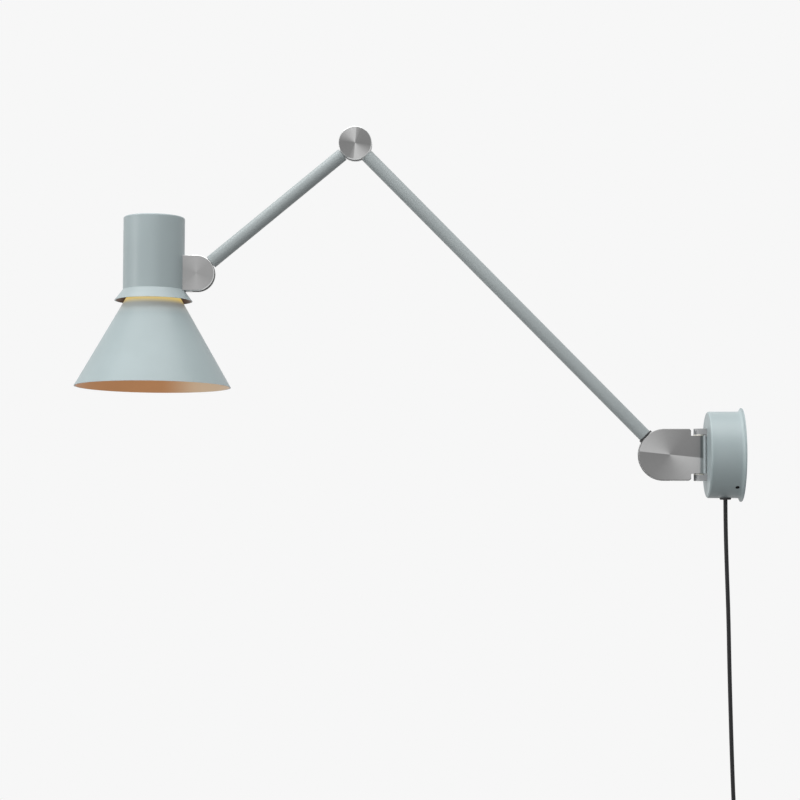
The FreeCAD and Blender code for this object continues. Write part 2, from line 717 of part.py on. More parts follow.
def cut_slot(body, joint):
    """Opens the block in front for the eye and for the sweep of its stem."""
    over = joint.radius + 1
    side = leg(joint.room, joint.mouth)
    outline = [
        (over, -over),
        (over, over),
        (-joint.mouth, over),
        (-joint.mouth, side),
        Arc(-joint.mouth, -side, 0, 0, "x"),
        (-joint.mouth, -over),
    ]
    pocket(body, "XZ_Plane", [outline], symmetric=True, length=joint.slot)


def pivot_bore(body, joint, clearance=0):
    pocket(body, "XZ_Plane", [Circle(0, 0, joint.bolt + clearance)], symmetric=True)


def block_cover(node, place, joint, outline, side, bored):
    """Thin plate over one side of a block, bevelled round its face but not at its back."""
    body = new_body(node, place)
    plate = pad(body, "XZ_Plane", [outline], joint.cover, offset=cover_offset(joint, side))
    face = joint.width / 2 * side
    rear = min((corner_of(entry)[0] for entry in outline), key=lambda number: as_size(number).value)
    on_face, at_rear = lies_at("y", face), lies_at("x", as_size(rear))
    tip = bevel(body, plate, lambda edge: on_face(edge) and not at_rear(edge), cover_bevel)
    if bored:
        pocket(body, "XZ_Plane", [Circle(0, 0, joint.head)], symmetric=True)
    return body, tip


def pivot_bolt(node, place, joint, side):
    """Bolt with a flat head flush in its cover and a socket in the head."""
    body = new_body(node, place)
    seat = joint.core / 2 * side
    face = joint.width / 2 * side
    turned(body, [
        (0, -seat),
        (joint.bolt, -seat),
        (joint.bolt, seat),
        (joint.head, seat),
        (joint.head, face),
        (socket_radius, face),
        (socket_radius, face - socket_depth * side),
        (0, face - socket_depth * side),
    ], axis="Y")


def friction_washers(node, place, joint):
    """A washer against each cheek, round the pivot bolt."""
    body = new_body(node, place)
    ring = [Circle(0, 0, joint.eye_radius - joint.washer), Circle(0, 0, joint.bolt)]
    for offset in (joint.slot / 2 - joint.washer, -joint.slot / 2):
        pad(body, "XZ_Plane", ring, joint.washer, offset=offset)


def eye(node, place, joint, reach):
    """Flat eye that turns in a fork, its stem, and a spigot for the arm's tube."""
    body = new_body(node, place)
    half = joint.stem / 2
    side = leg(joint.eye_radius, half)
    outline = [(-half, reach), (-half, side), Arc(half, side, 0, 0, "y"), (half, reach)]
    pad(body, "XZ_Plane", [outline], joint.eye_width, symmetric=True)
    pad(body, "XY_Plane", [Circle(0, 0, tube_bore)], spigot_length, offset=reach)
    pivot_bore(body, joint, fit_gap)


def wall_fork():
    """Block of the wall knuckle, and its tongue, flush with the covers, on the swivel pin."""
    body = new_body("wall_knuckle_fork", wall_fork_frame)
    pad(body, "XZ_Plane", [block_outline(wall_joint, block_back, block_corner)], wall_joint.core,
        symmetric=True)
    half = wall_joint.width / 2
    neck = wall_joint.core / 2
    root_x = -(block_back - wall_joint.cover)
    tongue = [
        (root_x, neck),
        (-block_back, neck),
        (-block_back, half),
        (-pivot_stand_off, half),
        Arc(-pivot_stand_off, -half, -pivot_stand_off, 0, "x"),
        (-block_back, -half),
        (-block_back, -neck),
        (root_x, -neck),
    ]
    pad(body, "XY_Plane", [tongue], tongue_height, symmetric=True)
    cut_slot(body, wall_joint)
    pocket(body, "XY_Plane", [Circle(-pivot_stand_off, 0, pin_radius + fit_gap)], symmetric=True)
    pivot_bore(body, wall_joint)


def wall_knuckle():
    outline = block_outline(wall_joint, block_back, block_corner)
    wall_fork()
    block_cover("wall_knuckle_near_cover", wall_fork_frame, wall_joint, outline, 1, bored=False)
    block_cover("wall_knuckle_far_cover", wall_fork_frame, wall_joint, outline, -1, bored=True)
    pivot_bolt("wall_pivot_bolt", wall_fork_frame, wall_joint, -1)
    friction_washers("wall_pivot_washers", wall_fork_frame, wall_joint)


def head_knuckle():
    """Block on the side of the cap, its back cut to the cap's side and flare."""
    back = shade_offset - leg(cap_radius, head_joint.width / 2) + 1
    outline = block_outline(head_joint, back, None)
    cap = [
        (0, cap_top),
        (0, -flare_rim_drop),
        (flare_rim_radius, -flare_rim_drop),
        (cap_radius, -flare_drop),
        (cap_radius, cap_top),
    ]
    fork = new_body("head_knuckle_fork", head_frame)
    pad(fork, "XZ_Plane", [outline], head_joint.core, symmetric=True)
    cut_slot(fork, head_joint)
    grooved(fork, cap, -shade_offset)
    pivot_bore(fork, head_joint)
    screws = [Circle(0, knuckle_screw_rise * side, knuckle_screw) for side in (-1, 1)]
    pocket(fork, "YZ_Plane", screws, offset=-knuckle_screw_end)
    for name, side, bored in (("near", -1, False), ("far", 1, True)):
        body, _ = block_cover(f"head_knuckle_{name}_cover", head_frame, head_joint, outline, side, bored)
        grooved(body, cap, -shade_offset)
    pivot_bolt("head_pivot_bolt", head_frame, head_joint, 1)
    friction_washers("head_pivot_washers", head_frame, head_joint)


def elbow_fork():
    """Two round cheeks on a narrow web, with a spigot for the lower tube."""
    joint = elbow_joint
    body = new_body("elbow_fork", elbow_fork_frame)
    pad(body, "XZ_Plane", [Circle(0, 0, joint.radius)], joint.core, symmetric=True)
    over = joint.radius + 1
    half = elbow_web_width / 2
    side = leg(joint.room, half)
    slot = [
        (half, -over),
        (over, -over),
        (over, over),
        (-over, over),
        (-over, -over),
        (-half, -over),
        (-half, -side),
        Arc(half, -side, 0, 0, "y"),
    ]
    pocket(body, "XZ_Plane", [slot], symmetric=True, length=joint.slot)
    rim = leg(joint.radius, tube_bore)
    pad(body, "XY_Plane", [Circle(0, 0, tube_bore)], spigot_length + joint.radius - rim,
        offset=-(joint.radius + spigot_length))
    pivot_bore(body, joint)


def elbow():
    joint = elbow_joint
    elbow_fork()
    for name, side, bore in (("near", -1, 0), ("far", 1, joint.head)):
        body = new_body(f"elbow_{name}_disc", elbow_fork_frame)
        seat = joint.core / 2 * side
        face = joint.width / 2 * side
        turned(body, [
            (bore, seat),
            (joint.radius, seat),
            (joint.radius, face - cover_bevel * side),
            (joint.radius - cover_bevel, face),
            (bore, face),
        ], axis="Y")
    pivot_bolt("elbow_bolt", elbow_fork_frame, joint, 1)
    friction_washers("elbow_washers", elbow_fork_frame, joint)


# ---- Arms ------------------------------------------------------------------------


def arm_tube(node, place, low, high):
    body = new_body(node, place)
    turned(body, ring_profile(tube_bore, tube_radius, low, high))


def tube_saddle():
    """Black saddle between the wall knuckle's rim and the lower tube's square end."""
    body = new_body("lower_arm_saddle", lower_arm_frame)
    rim = wall_joint.radius + rim_gap
    depth = wall_reach - leg(rim, saddle_radius) + rim_gap
    pad(body, "XY_Plane", [Circle(0, 0, saddle_radius)], depth, offset=wall_reach - depth)
    half = wall_joint.stem / 2
    stem = rectangle(-half, half, -wall_joint.eye_width / 2, wall_joint.eye_width / 2)
    pocket(body, "XY_Plane", [stem], back=True)
    pocket(body, "XZ_Plane", [Circle(0, 0, rim)], symmetric=True)


def arms():
    eye("lower_arm_wall_eye", lower_arm_frame, wall_joint, wall_reach)
    tube_saddle()
    arm_tube("lower_arm_tube", lower_arm_frame, wall_reach, lower_arm_length - elbow_joint.radius)
    elbow_reach = elbow_joint.radius + rim_gap
    head_reach = head_joint.radius + rim_gap
    eye("upper_arm_elbow_eye", upper_arm_frame, elbow_joint, elbow_reach)
    arm_tube("upper_arm_tube", upper_arm_frame, elbow_reach, upper_arm_length - head_reach)
    eye("upper_arm_head_eye", head_eye_frame, head_joint, head_reach)


# ---- Cap, lampholder and shade ---------------------------------------------------

cap_inside = cap_top - cap_wall
cap_bore = cap_radius - cap_wall
leg_inside = cap_bore - bracket_strap
knuckle_heads = leg(leg_inside, knuckle_screw_head)
shelf_top = bracket_shelf_rise + bracket_strap
housing_foot = -(cone_neck_drop - spider_plate)
bulb_top = -(skirt_floor_drop + contact_thickness)


def knuckle_screw_holes():
    return [Circle(0, knuckle_screw_rise * side, knuckle_screw) for side in (-1, 1)]


def cap_shell():
    """Spun cap: closed top with a rounded edge, straight side and flared rim."""
    body = new_body("cap_shell", shade_frame)
    turned(body, [
        (0, cap_top),
        (0, cap_inside),
        (cap_radius - cap_edge, cap_inside),
        Arc(cap_bore, cap_top - cap_edge, cap_radius - cap_edge, cap_top - cap_edge, "x",
            clockwise=True),
        (cap_bore, -flare_drop),
        (flare_rim_radius - cap_wall, -flare_rim_drop),
        (flare_rim_radius, -flare_rim_drop),
        (cap_radius, -flare_drop),
        (cap_radius, cap_top - cap_edge),
        Arc(cap_radius - cap_edge, cap_top, cap_radius - cap_edge, cap_top - cap_edge, "x"),
    ])
    pocket(body, "XY_Plane", [Circle(0, 0, switch_barrel)], back=True)
    pocket(body, "YZ_Plane", knuckle_screw_holes(), back=True)


def lampholder_bracket():
    """Angle in the cap: a leg along its wall and a shelf over the lampholder."""
    body = new_body("lampholder_bracket", shade_frame)
    half = bracket_strap_width / 2
    outer = leg(cap_bore, half)
    inner = leg(leg_inside, half)
    upright = [(outer, -half), Arc(outer, half, 0, 0, "x"), (inner, half),
               Arc(inner, -half, 0, 0, "x", clockwise=True)]
    pad(body, "XY_Plane", [upright], bracket_leg_drop + shelf_top, offset=-bracket_leg_drop)
    shelf = [(inner + bracket_strap / 2, -half), (inner + bracket_strap / 2, half), (0, half),
             Arc(0, -half, 0, 0, "x")]
    pad(body, "XY_Plane", [shelf], bracket_strap, offset=bracket_shelf_rise)
    pocket(body, "XY_Plane", [Circle(0, 0, nipple_radius)], symmetric=True)
    pocket(body, "YZ_Plane", knuckle_screw_holes(), back=True)


def knuckle_screws():
    """Screws from inside the cap, through the bracket's leg into the head block."""
    body = new_body("knuckle_screws", shade_frame)
    heads = [Circle(0, knuckle_screw_rise * side, knuckle_screw_head) for side in (-1, 1)]
    length = shade_offset - knuckle_screw_end - knuckle_heads
    pad(body, "YZ_Plane", knuckle_screw_holes(), length, offset=knuckle_heads)
    pad(body, "YZ_Plane", heads, knuckle_screw_head_height,
        offset=knuckle_heads - knuckle_screw_head_height)


def lampholder_nipple():
    """Threaded tube that hangs the lampholder from the bracket, and its nut."""
    nipple = new_body("lampholder_nipple", shade_frame)
    foot = bracket_shelf_rise - housing_taper / 2
    turned(nipple, ring_profile(nipple_bore, nipple_radius, foot, shelf_top + nipple_nut_height))
    nut = new_body("lampholder_nut", shade_frame)
    turned(nut, ring_profile(nipple_radius, nipple_nut, shelf_top, shelf_top + nipple_nut_height))


def lampholder_housing():
    """Upper half of the lampholder: a hood over the terminals, tapered to the nipple."""
    body = new_body("lampholder_housing", shade_frame)
    bore = housing_radius - housing_wall
    slope = bracket_shelf_rise - housing_taper
    turned(body, [
        (nipple_radius, bracket_shelf_rise),
        (nipple_radius, bracket_shelf_rise - housing_taper / 2),
        (bore - housing_wall * 2, bracket_shelf_rise - housing_taper / 2),
        (bore, slope - housing_wall / 2),
        (bore, housing_foot),
        (housing_radius, housing_foot),
        (housing_radius, slope),
        (housing_top_radius, bracket_shelf_rise),
    ])


def lampholder_skirt():
    """Lower half of the lampholder: an insulating cup with the shade ring's thread."""
    body = new_body("lampholder_skirt", shade_frame)
    turned(body, [
        (0, -skirt_floor_drop),
        (shell_radius, -skirt_floor_drop),
        (shell_radius, -skirt_drop),
        (skirt_radius, -skirt_drop),
        (skirt_radius, -skirt_floor_drop + skirt_floor),
        (0, -skirt_floor_drop + skirt_floor),
    ])
    shell = new_body("lampholder_shell", shade_frame)
    turned(shell, ring_profile(shell_radius - shell_wall, shell_radius,
                               -skirt_floor_drop - shell_length, -skirt_floor_drop))
    contact = new_body("lampholder_contact", shade_frame)
    turned(contact, [
        (0, bulb_top),
        (contact_radius / 2, bulb_top),
        (contact_radius, bulb_top + contact_thickness / 2),
        (contact_radius, -skirt_floor_drop),
        (0, -skirt_floor_drop),
    ])


def shade_spider():
    """Two rings joined by three arms; light passes up between the arms."""
    body = new_body("shade_spider", shade_frame)
    low = -cone_neck_drop
    inner = [Circle(0, 0, skirt_radius + spider_band), Circle(0, 0, skirt_radius)]
    outer = [Circle(0, 0, cone_neck_radius), Circle(0, 0, cone_neck_radius - spider_band)]
    half = spider_arm / 2
    pad(body, "XY_Plane", inner, spider_plate, offset=low)
    pad(body, "XY_Plane", outer, spider_plate, offset=low)
    reach = leg(skirt_radius + spider_band / 2, half)
    end = leg(cone_neck_radius - spider_band / 2, half)
    arm = pad(body, "XY_Plane", [rectangle(reach, end, -half, half)], spider_plate, offset=low)
    doc.recompute()
    pattern = body.newObject("PartDesign::PolarPattern", "shade_spider_arms")
    pattern.Originals = [arm]
    pattern.Axis = (arm.Profile[0], ["N_Axis"])
    pattern.Angle = 360
    pattern.Occurrences = 3
    body.Tip = pattern


def shade_ring_nut():
    """Ring on the skirt's thread that presses the spider against the housing."""
    body = new_body("shade_ring_nut", shade_frame)
    top = -cone_neck_drop
    turned(body, ring_profile(skirt_radius, skirt_radius + spider_band, top - ring_nut_height, top))


def cone_shade():
    """Spun cone, with a flange turned in at the neck on which the spider sits."""
    body = new_body("cone_shade", shade_frame)
    slope = (cone_mouth_radius - cone_neck_radius) / (cone_mouth_drop - cone_neck_drop)
    inset = cone_wall * root(1 + slope * slope)
    turned(body, [
        (cone_neck_radius - neck_flange, -cone_neck_drop),
        (cone_neck_radius - neck_flange, -cone_neck_drop - cone_wall),
        (cone_neck_radius - inset + slope * cone_wall, -cone_neck_drop - cone_wall),
        (cone_mouth_radius - inset, -cone_mouth_drop),
        (cone_mouth_radius, -cone_mouth_drop),
        (cone_neck_radius, -cone_neck_drop),
    ])


def bulb():
    """Small globe bulb: a screw base with its tip, and one blown glass with a thin wall."""
    base = new_body("bulb_base", shade_frame)
    shoulder = bulb_top - bulb_tip
    foot = bulb_top - bulb_base_length
    turned(base, [
        (0, bulb_top),
        (bulb_tip / 2, bulb_top),
        (bulb_base_radius - bulb_tip / 2, shoulder),
        (bulb_base_radius, shoulder - bulb_tip / 2),
        (bulb_base_radius, foot),
        (0, foot),
    ])
    glass = new_body("bulb_glass", shade_frame)
    centre = foot - bulb_glass_length + bulb_radius
    outer = bulb_profile(bulb_radius, bulb_neck_radius, centre)
    inner = bulb_profile(bulb_radius - bulb_wall, bulb_neck_radius - bulb_wall, centre)
    turned(glass, [
        (0, centre - bulb_radius),
        Arc(*outer[0], 0, centre, "y"),
        outer[1],
        (bulb_neck_radius, foot),
        (bulb_neck_radius - bulb_wall, foot),
        inner[1],
        inner[0],
        Arc(0, centre - bulb_radius + bulb_wall, 0, centre, "y", clockwise=True),
    ])


def bulb_profile(globe, neck, centre):
    """Where a globe ends in the cone that touches it, and where that cone ends in the neck."""
    x = globe * cosine(bulb_globe_angle)
    y = centre + globe * sine(bulb_globe_angle)
    run = (x - neck) / sine(bulb_globe_angle)
    return (x, y), (neck, y + run * cosine(bulb_globe_angle))


def push_switch():
    """Push switch in the cap's top: body below, bezel nut above, button in the barrel."""
    body = new_body("switch_body", shade_frame)
    barrel_top = cap_top + switch_barrel_rise
    button_foot = cap_top + button_rise - button_length
    floor = button_foot - button_travel - rim_gap
    bore = button_radius + rim_gap
    turned(body, [
        (0, cap_inside - switch_body_height),
        (switch_body_radius, cap_inside - switch_body_height),
        (switch_body_radius, cap_inside),
        (switch_barrel, cap_inside),
        (switch_barrel, barrel_top),
        (bore, barrel_top),
        (bore, floor),
        (0, floor),
    ])
    bezel = new_body("switch_bezel", shade_frame)
    turned(bezel, [
        (switch_barrel, cap_top),
        (switch_bezel_radius, cap_top),
        (switch_bezel_radius, cap_top + switch_bezel_height / 2),
        (switch_bezel_radius - switch_bezel_height / 2, cap_top + switch_bezel_height),
        (switch_barrel, cap_top + switch_bezel_height),
    ])
    button = new_body("switch_button", shade_frame)
    turned(button, [
        (0, button_foot),
        (button_radius, button_foot),
        (button_radius, cap_top + button_rise - button_dome),
        (button_radius - button_dome, cap_top + button_rise),
        (0, cap_top + button_rise),
    ])


# ---- Inside the cup --------------------------------------------------------------


def terminal_block():
    """Two-pole terminal block on the bracket's plate, with brass inserts."""
    body = new_body("terminal_block", wall_frame)
    outline = rectangle(terminal_foot, terminal_head, -terminal_width / 2, terminal_width / 2)
    pad(body, "XY_Plane", [outline], terminal_depth, offset=bracket_plate)
    sides = [terminal_pitch / 2 * side for side in (-1, 1)]
    bores = [Circle(y, terminal_axis, insert_radius) for y in sides]
    pocket(body, "YZ_Plane", bores, symmetric=True)
    ends = (terminal_foot * 0.75 + terminal_head * 0.25, terminal_foot * 0.25 + terminal_head * 0.75)
    wells = [Circle(x, y, terminal_well) for x in ends for y in sides]
    pocket(body, "XY_Plane", wells, offset=terminal_axis, back=True)
    inserts = new_body("terminal_inserts", wall_frame)
    pad(inserts, "YZ_Plane", bores, terminal_head - terminal_foot, offset=terminal_foot)


def lead_bush():
    """Bush in the bottom of the cup, in which the lead's sheath ends."""
    body = new_body("lead_bush", bush_frame)
    inner_low = -(cup_wall + bush_grip)
    turned(body, [
        (0, bush_flange),
        (bush_radius - bush_bevel, bush_flange),
        (bush_radius, bush_flange - bush_bevel),
        (bush_radius, 0),
        (bush_neck, 0),
        (bush_neck, inner_low),
        (bush_radius, inner_low),
        (bush_radius, inner_low - bush_inner_flange),
        (0, inner_low - bush_inner_flange),
    ])


# ---- Lead ------------------------------------------------------------------------


def rounded_path(points, name):
    """Straight runs joined by tangent arcs, each as large as its two runs allow."""
    edges = []
    radii = []
    at = points[0]
    for before, here, after in zip(points, points[1:], points[2:]):
        run_in = here - before
        run_out = after - here
        cut = 0.45 * min(run_in.Length, run_out.Length)
        way_in = V(run_in).normalize()
        way_out = V(run_out).normalize()
        half_turn = math.acos(max(-1.0, min(1.0, way_in.dot(way_out)))) / 2
        radius = cut / math.tan(half_turn)
        centre = here + (way_out - way_in).normalize() * (radius / math.cos(half_turn))
        start = here - way_in * cut
        end = here + way_out * cut
        middle = centre + (here - centre).normalize() * radius
        edges.append(Part.LineSegment(at, start).toShape())
        edges.append(Part.Arc(start, middle, end).toShape())
        radii.append(radius)
        at = end
    edges.append(Part.LineSegment(at, points[-1]).toShape())
    print(name, "radii:", " ".join(f"{radius:.0f}" for radius in radii))
    return edges


def swept(node, edges, radius):
    """A round tube along joined edges; its volume is checked against its length."""
    path = Part.Wire(edges)
    first = edges[0]
    start = first.valueAt(first.FirstParameter)
    section = Part.Wire(Part.Circle(start, first.tangentAt(first.FirstParameter), radius).toShape())
    shape = path.makePipeShell([section], True, False)
    ratio = shape.Volume / (math.pi * radius ** 2 * path.Length)
    print(f"{node}: length {path.Length:.1f}, volume over section x length {ratio:.4f}")
    item = doc.addObject("Part::Feature", node)
    item.Label = node
    item.Shape = shape
    pieces.append(item)
    return path


def biarc(start, way_in, end, way_out):
    """Two arcs that leave start along way_in and reach end along way_out."""
    step = end - start
    spread = 2 * (1 - way_in.dot(way_out))
    across = step.dot(way_in + way_out)
    reach = (-across + math.sqrt(across ** 2 + spread * step.dot(step))) / spread
    first_apex = start + way_in * reach
    last_apex = end - way_out * reach
    middle = (first_apex + last_apex) * 0.5
    return [through_apex(start, first_apex, middle), through_apex(middle, last_apex, end)]


def through_apex(start, apex, end):
    """The arc whose end tangents meet at apex."""
    foot = (start + end) * 0.5
    half_chord = (end - start).Length / 2
    half_turn = math.atan2((apex - foot).Length, half_chord)
    rise = half_chord * math.tan(half_turn / 2)
    return Part.Arc(start, foot + (apex - foot).normalize() * rise, end).toShape()


lead_width = lead_radius.value * 2
coil_pitch = lead_width + coil_pitch_gap.value
coil_outer = coil_mean_radius.value + coil_pitch * coil_quarters_per_layer / 8
coil_inner = coil_outer - coil_pitch * coil_quarters_per_layer / 4
coil_x = -(coil_wall_gap.value + lead_radius.value)
coil_front_x = coil_x - coil_pitch * (coil_layers - 1)
lead_side = coil_side.value + coil_outer
coil_z = -coil_drop.value


def lead_route():
    """Corners of the lead's hang, chosen by hand: down the wall, then to the coil."""
    bush_end = -(cup_radius.value + bush_flange.value)
    return [
        V(-lead_exit.value, 0, bush_end),
        V(-lead_exit.value, 0, -64),
        V(-14.4, 0, -104),
        V(-12.9, 0, -152),
        V(-12.2, 0, -202),
        V(-11.1, 0, -252),
        V(-9.9, 0.1, -298),
        V(-8.4, 2.6, -332),
        V(-5.6, 11.0, -357),
        V(coil_x, lead_side, coil_z + lead_width + 24),
        V(coil_x, lead_side, coil_z + lead_width),
    ]


def coil_node(quarter):
    """A point of the coil and its heading, quarter turns after its start.

    The spiral runs in on one layer and out on the next. In the half turn where it
    reverses, it climbs one layer, and at its middle it neither runs in nor out.
    """
    layer, along = divmod(quarter, coil_quarters_per_layer)
    inwards = layer % 2 == 0
    run = along if inwards else coil_quarters_per_layer - along
    radius = coil_outer - coil_pitch * run / 4
    turning = along == 0
    at_end = quarter in (0, coil_layers * coil_quarters_per_layer)
    climbing = turning and not at_end
    depth = coil_pitch * (layer - (0.5 if climbing else 0))
    if at_end and quarter:
        depth = coil_pitch * (coil_layers - 1)
    angle = quarter * math.pi / 2
    out = V(0, math.cos(angle), -math.sin(angle))
    on = V(0, -math.sin(angle), -math.cos(angle))
    drift = 0 if turning else coil_pitch / (2 * math.pi) * (-1 if inwards else 1)
    climb = V(-2 * coil_pitch / math.pi, 0, 0) if climbing else V()
    place = V(coil_x - depth, coil_side.value, coil_z) + out * radius
    return place, (on * radius + out * drift + climb).normalize()


def lead_coil():
    """The rest of the lead, wound in layers as one unbroken tube."""
    nodes = [coil_node(quarter) for quarter in range(coil_layers * coil_quarters_per_layer + 1)]
    first, last = nodes[0], nodes[-1]
    edges = [Part.LineSegment(first[0] - first[1] * lead_width, first[0]).toShape()]
    for (start, way_in), (end, way_out) in zip(nodes, nodes[1:]):
        edges += biarc(start, way_in, end, way_out)
    edges.append(Part.LineSegment(last[0], last[0] + last[1] * lead_width).toShape())
    path = swept("lead_coil", edges, lead_radius.value)
    step = 2.0
    points = path.discretize(Distance=step)
    apart = int(math.pi * coil_inner / step)
    least = min((p - q).Length for n, p in enumerate(points) for q in points[n + apart:])
    print(f"coil: least gap to itself {least - lead_width:.2f}")
    return last


def lead():
    """Free stretch, coil, straight tail and cores of the lead."""
    swept("lead", rounded_path(lead_route(), "lead"), lead_radius.value)
    end, way = lead_coil()
    start = end + way * lead_width
    tail = Part.LineSegment(start, start + way * tail_length.value).toShape()
    swept("lead_tail", [tail], lead_radius.value)


def lead_cores():
    """The two cores, from the bush up to the terminal block."""
    shapes = []
    bush_top = -(cup_radius - cup_wall - bush_grip - bush_inner_flange)
    bend = 8
    for side in (-1, 1):
        low = V(-lead_exit.value, side * core_pitch.value / 2, bush_top.value)
        high = V(-terminal_axis.value, side * terminal_pitch.value / 2, terminal_foot.value)
        route = [low, low + V(0, 0, bend), high - V(0, 0, bend), high]
        path = Part.Wire(rounded_path(route, "lead core"))
        section = Part.Wire(Part.Circle(low, Z_AXIS, core_radius.value).toShape())
        shapes.append(path.makePipeShell([section], True, False))
    item = doc.addObject("Part::Feature", "lead_cores")
    item.Label = "lead_cores"
    item.Shape = Part.makeCompound(shapes)
    pieces.append(item)


def coil_tie():
    """A flat band round all the coil's turns, at its top."""
    body = new_body("coil_tie", coil_frame)
    sag = rim_gap * 2
    reach_in = coil_inner - lead_radius.value
    reach_out = coil_outer + lead_radius.value
    near = Size(-coil_front_x + lead_radius.value, str(-coil_front_x + lead_radius.value))
    hole = rectangle(coil_wall_gap - rim_gap, near + rim_gap, reach_in - sag, reach_out + sag)
    band = rectangle(coil_wall_gap - rim_gap - tie_thickness, near + rim_gap + tie_thickness,
                     reach_in - sag - tie_thickness, reach_out + sag + tie_thickness)
    pad(body, "XZ_Plane", [band, hole], tie_width, symmetric=True)


# X out of the wall, Z up, at the coil's centre
coil_frame = frame("coil_frame", 0, coil_side, -coil_drop, Z_AXIS, 180)
plug_z = coil_z - lead_width - tail_length.value
# Z down, along the plug
plug_frame = frame("plug_frame", coil_front_x, lead_side, plug_z, X_AXIS, 180)


def plug():
    """Slim two-pin plug with a tapered strain relief."""
    body = new_body("plug_body", plug_frame)
    low = relief_length
    high = relief_length + plug_length
    neck, wide, face = plug_neck_width / 2, plug_width / 2, plug_face_width / 2
    outline = [
        (-neck, low),
        (neck, low),
        (wide, low + plug_shoulder),
        (wide, high - plug_chin),
        (face, high),
        (-face, high),
        (-wide, high - plug_chin),
        (-wide, low + plug_shoulder),
    ]
    block = pad(body, "YZ_Plane", [outline], plug_thickness, symmetric=True)
    half = plug_thickness / 2
    on_face = [lies_at("x", half), lies_at("x", -half)]
    bevel(body, block, lambda edge: any(test(edge) for test in on_face), plug_rounding, "Fillet")
    turned(body, [
        (0, 0),
        (relief_thin, 0),
        (relief_thick, relief_length - plug_rounding),
        (relief_thick, relief_length + plug_rounding),
        (0, relief_length + plug_rounding),
    ])
    pins = new_body("plug_pins", plug_frame)
    circles = [Circle(0, plug_pin_pitch / 2 * side, plug_pin_radius) for side in (-1, 1)]
    feature = pad(pins, "XY_Plane", circles, plug_pin_length, offset=high)
    tip = high + plug_pin_length
    bevel(pins, feature, lies_at("z", tip), plug_pin_bevel)


# ---- The lamp --------------------------------------------------------------------

wall_bracket()
wall_cup()
grub_screws()
swivel_lug("swivel_lug_top", 1)
swivel_lug("swivel_lug_bottom", -1)
swivel_pin()
swivel_washers()
lug_backing_plate()
lug_screws()
terminal_block()
lead_bush()
lead_cores()
lead()
coil_tie()
plug()
wall_knuckle()
arms()
elbow()
head_knuckle()
cap_shell()
lampholder_bracket()
knuckle_screws()
lampholder_nipple()
lampholder_housing()
lampholder_skirt()
shade_spider()
shade_ring_nut()
cone_shade()
bulb()
push_switch()

doc.recompute()
for item in doc.Objects:
    if {"Invalid", "Error"} & set(item.State):
        raise RuntimeError(f"{item.Label} is {item.State}")
for piece in pieces:
    if piece.Shape.isNull() or not piece.Shape.isValid():
        raise RuntimeError(f"{piece.Label} has no valid shape")
os.makedirs("parts", exist_ok=True)
for piece in pieces:
    piece.Shape.exportStep(f"parts/{piece.Label}.step")
print(len(pieces), "nodes")
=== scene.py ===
"""Finishes an articulating wall lamp: camera, lead, spun metal, satin paint and light."""

import math

import bmesh
import bpy
from mathutils import Matrix, Vector


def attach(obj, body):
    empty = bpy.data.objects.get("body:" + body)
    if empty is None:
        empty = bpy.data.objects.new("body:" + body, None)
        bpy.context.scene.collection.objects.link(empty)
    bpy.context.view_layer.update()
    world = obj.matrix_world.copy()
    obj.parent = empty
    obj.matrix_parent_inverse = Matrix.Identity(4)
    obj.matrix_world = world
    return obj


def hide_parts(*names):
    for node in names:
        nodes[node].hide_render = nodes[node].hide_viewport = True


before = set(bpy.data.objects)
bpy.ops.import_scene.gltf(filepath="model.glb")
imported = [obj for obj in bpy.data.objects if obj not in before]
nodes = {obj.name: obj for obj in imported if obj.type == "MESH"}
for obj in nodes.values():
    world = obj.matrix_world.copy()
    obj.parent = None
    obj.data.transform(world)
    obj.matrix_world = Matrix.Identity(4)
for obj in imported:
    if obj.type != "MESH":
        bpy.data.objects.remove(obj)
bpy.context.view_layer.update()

# Places of the lamp's pieces, in metres, as the solids have them.
WALL_PIVOT = Vector((-0.0734, 0, 0))
SWIVEL_PIN = Vector((-0.0403, 0, 0))
ELBOW = Vector((-0.366457, 0, 0.296659))
HEAD_PIVOT = Vector((-0.516815, 0, 0.172493))
SHADE_AXIS = Vector((-0.557915, 0, 0.172708))  # the point beside the head pivot
SHADE_LEAN = math.radians(0.3)
LOWER_ARM_RISE = math.radians(45.35)
LEAD_RADIUS = 0.002


# ------------------------------------------------------------------ camera
CAMERA_PLACE = (-0.27, -2.1, -0.105)
CAMERA_PITCH = math.radians(92.111)  # 90 degrees would look level
FOCAL_LENGTH = 99.79
SENSOR_WIDTH = 36
LENS_SHIFT = (-0.0707, 0.105)
NEAREST, FARTHEST = 0.05, 60


def aim_camera():
    """Stands the camera where the photograph was taken: low, and looking slightly up."""
    lens = bpy.data.cameras.new("camera")
    lens.lens = FOCAL_LENGTH
    lens.sensor_width = SENSOR_WIDTH
    lens.shift_x, lens.shift_y = LENS_SHIFT
    lens.clip_start = NEAREST
    lens.clip_end = FARTHEST
    camera = bpy.data.objects.new("camera", lens)
    camera.location = CAMERA_PLACE
    camera.rotation_euler = (CAMERA_PITCH, 0, 0)
    bpy.context.scene.collection.objects.link(camera)
    bpy.context.scene.camera = camera


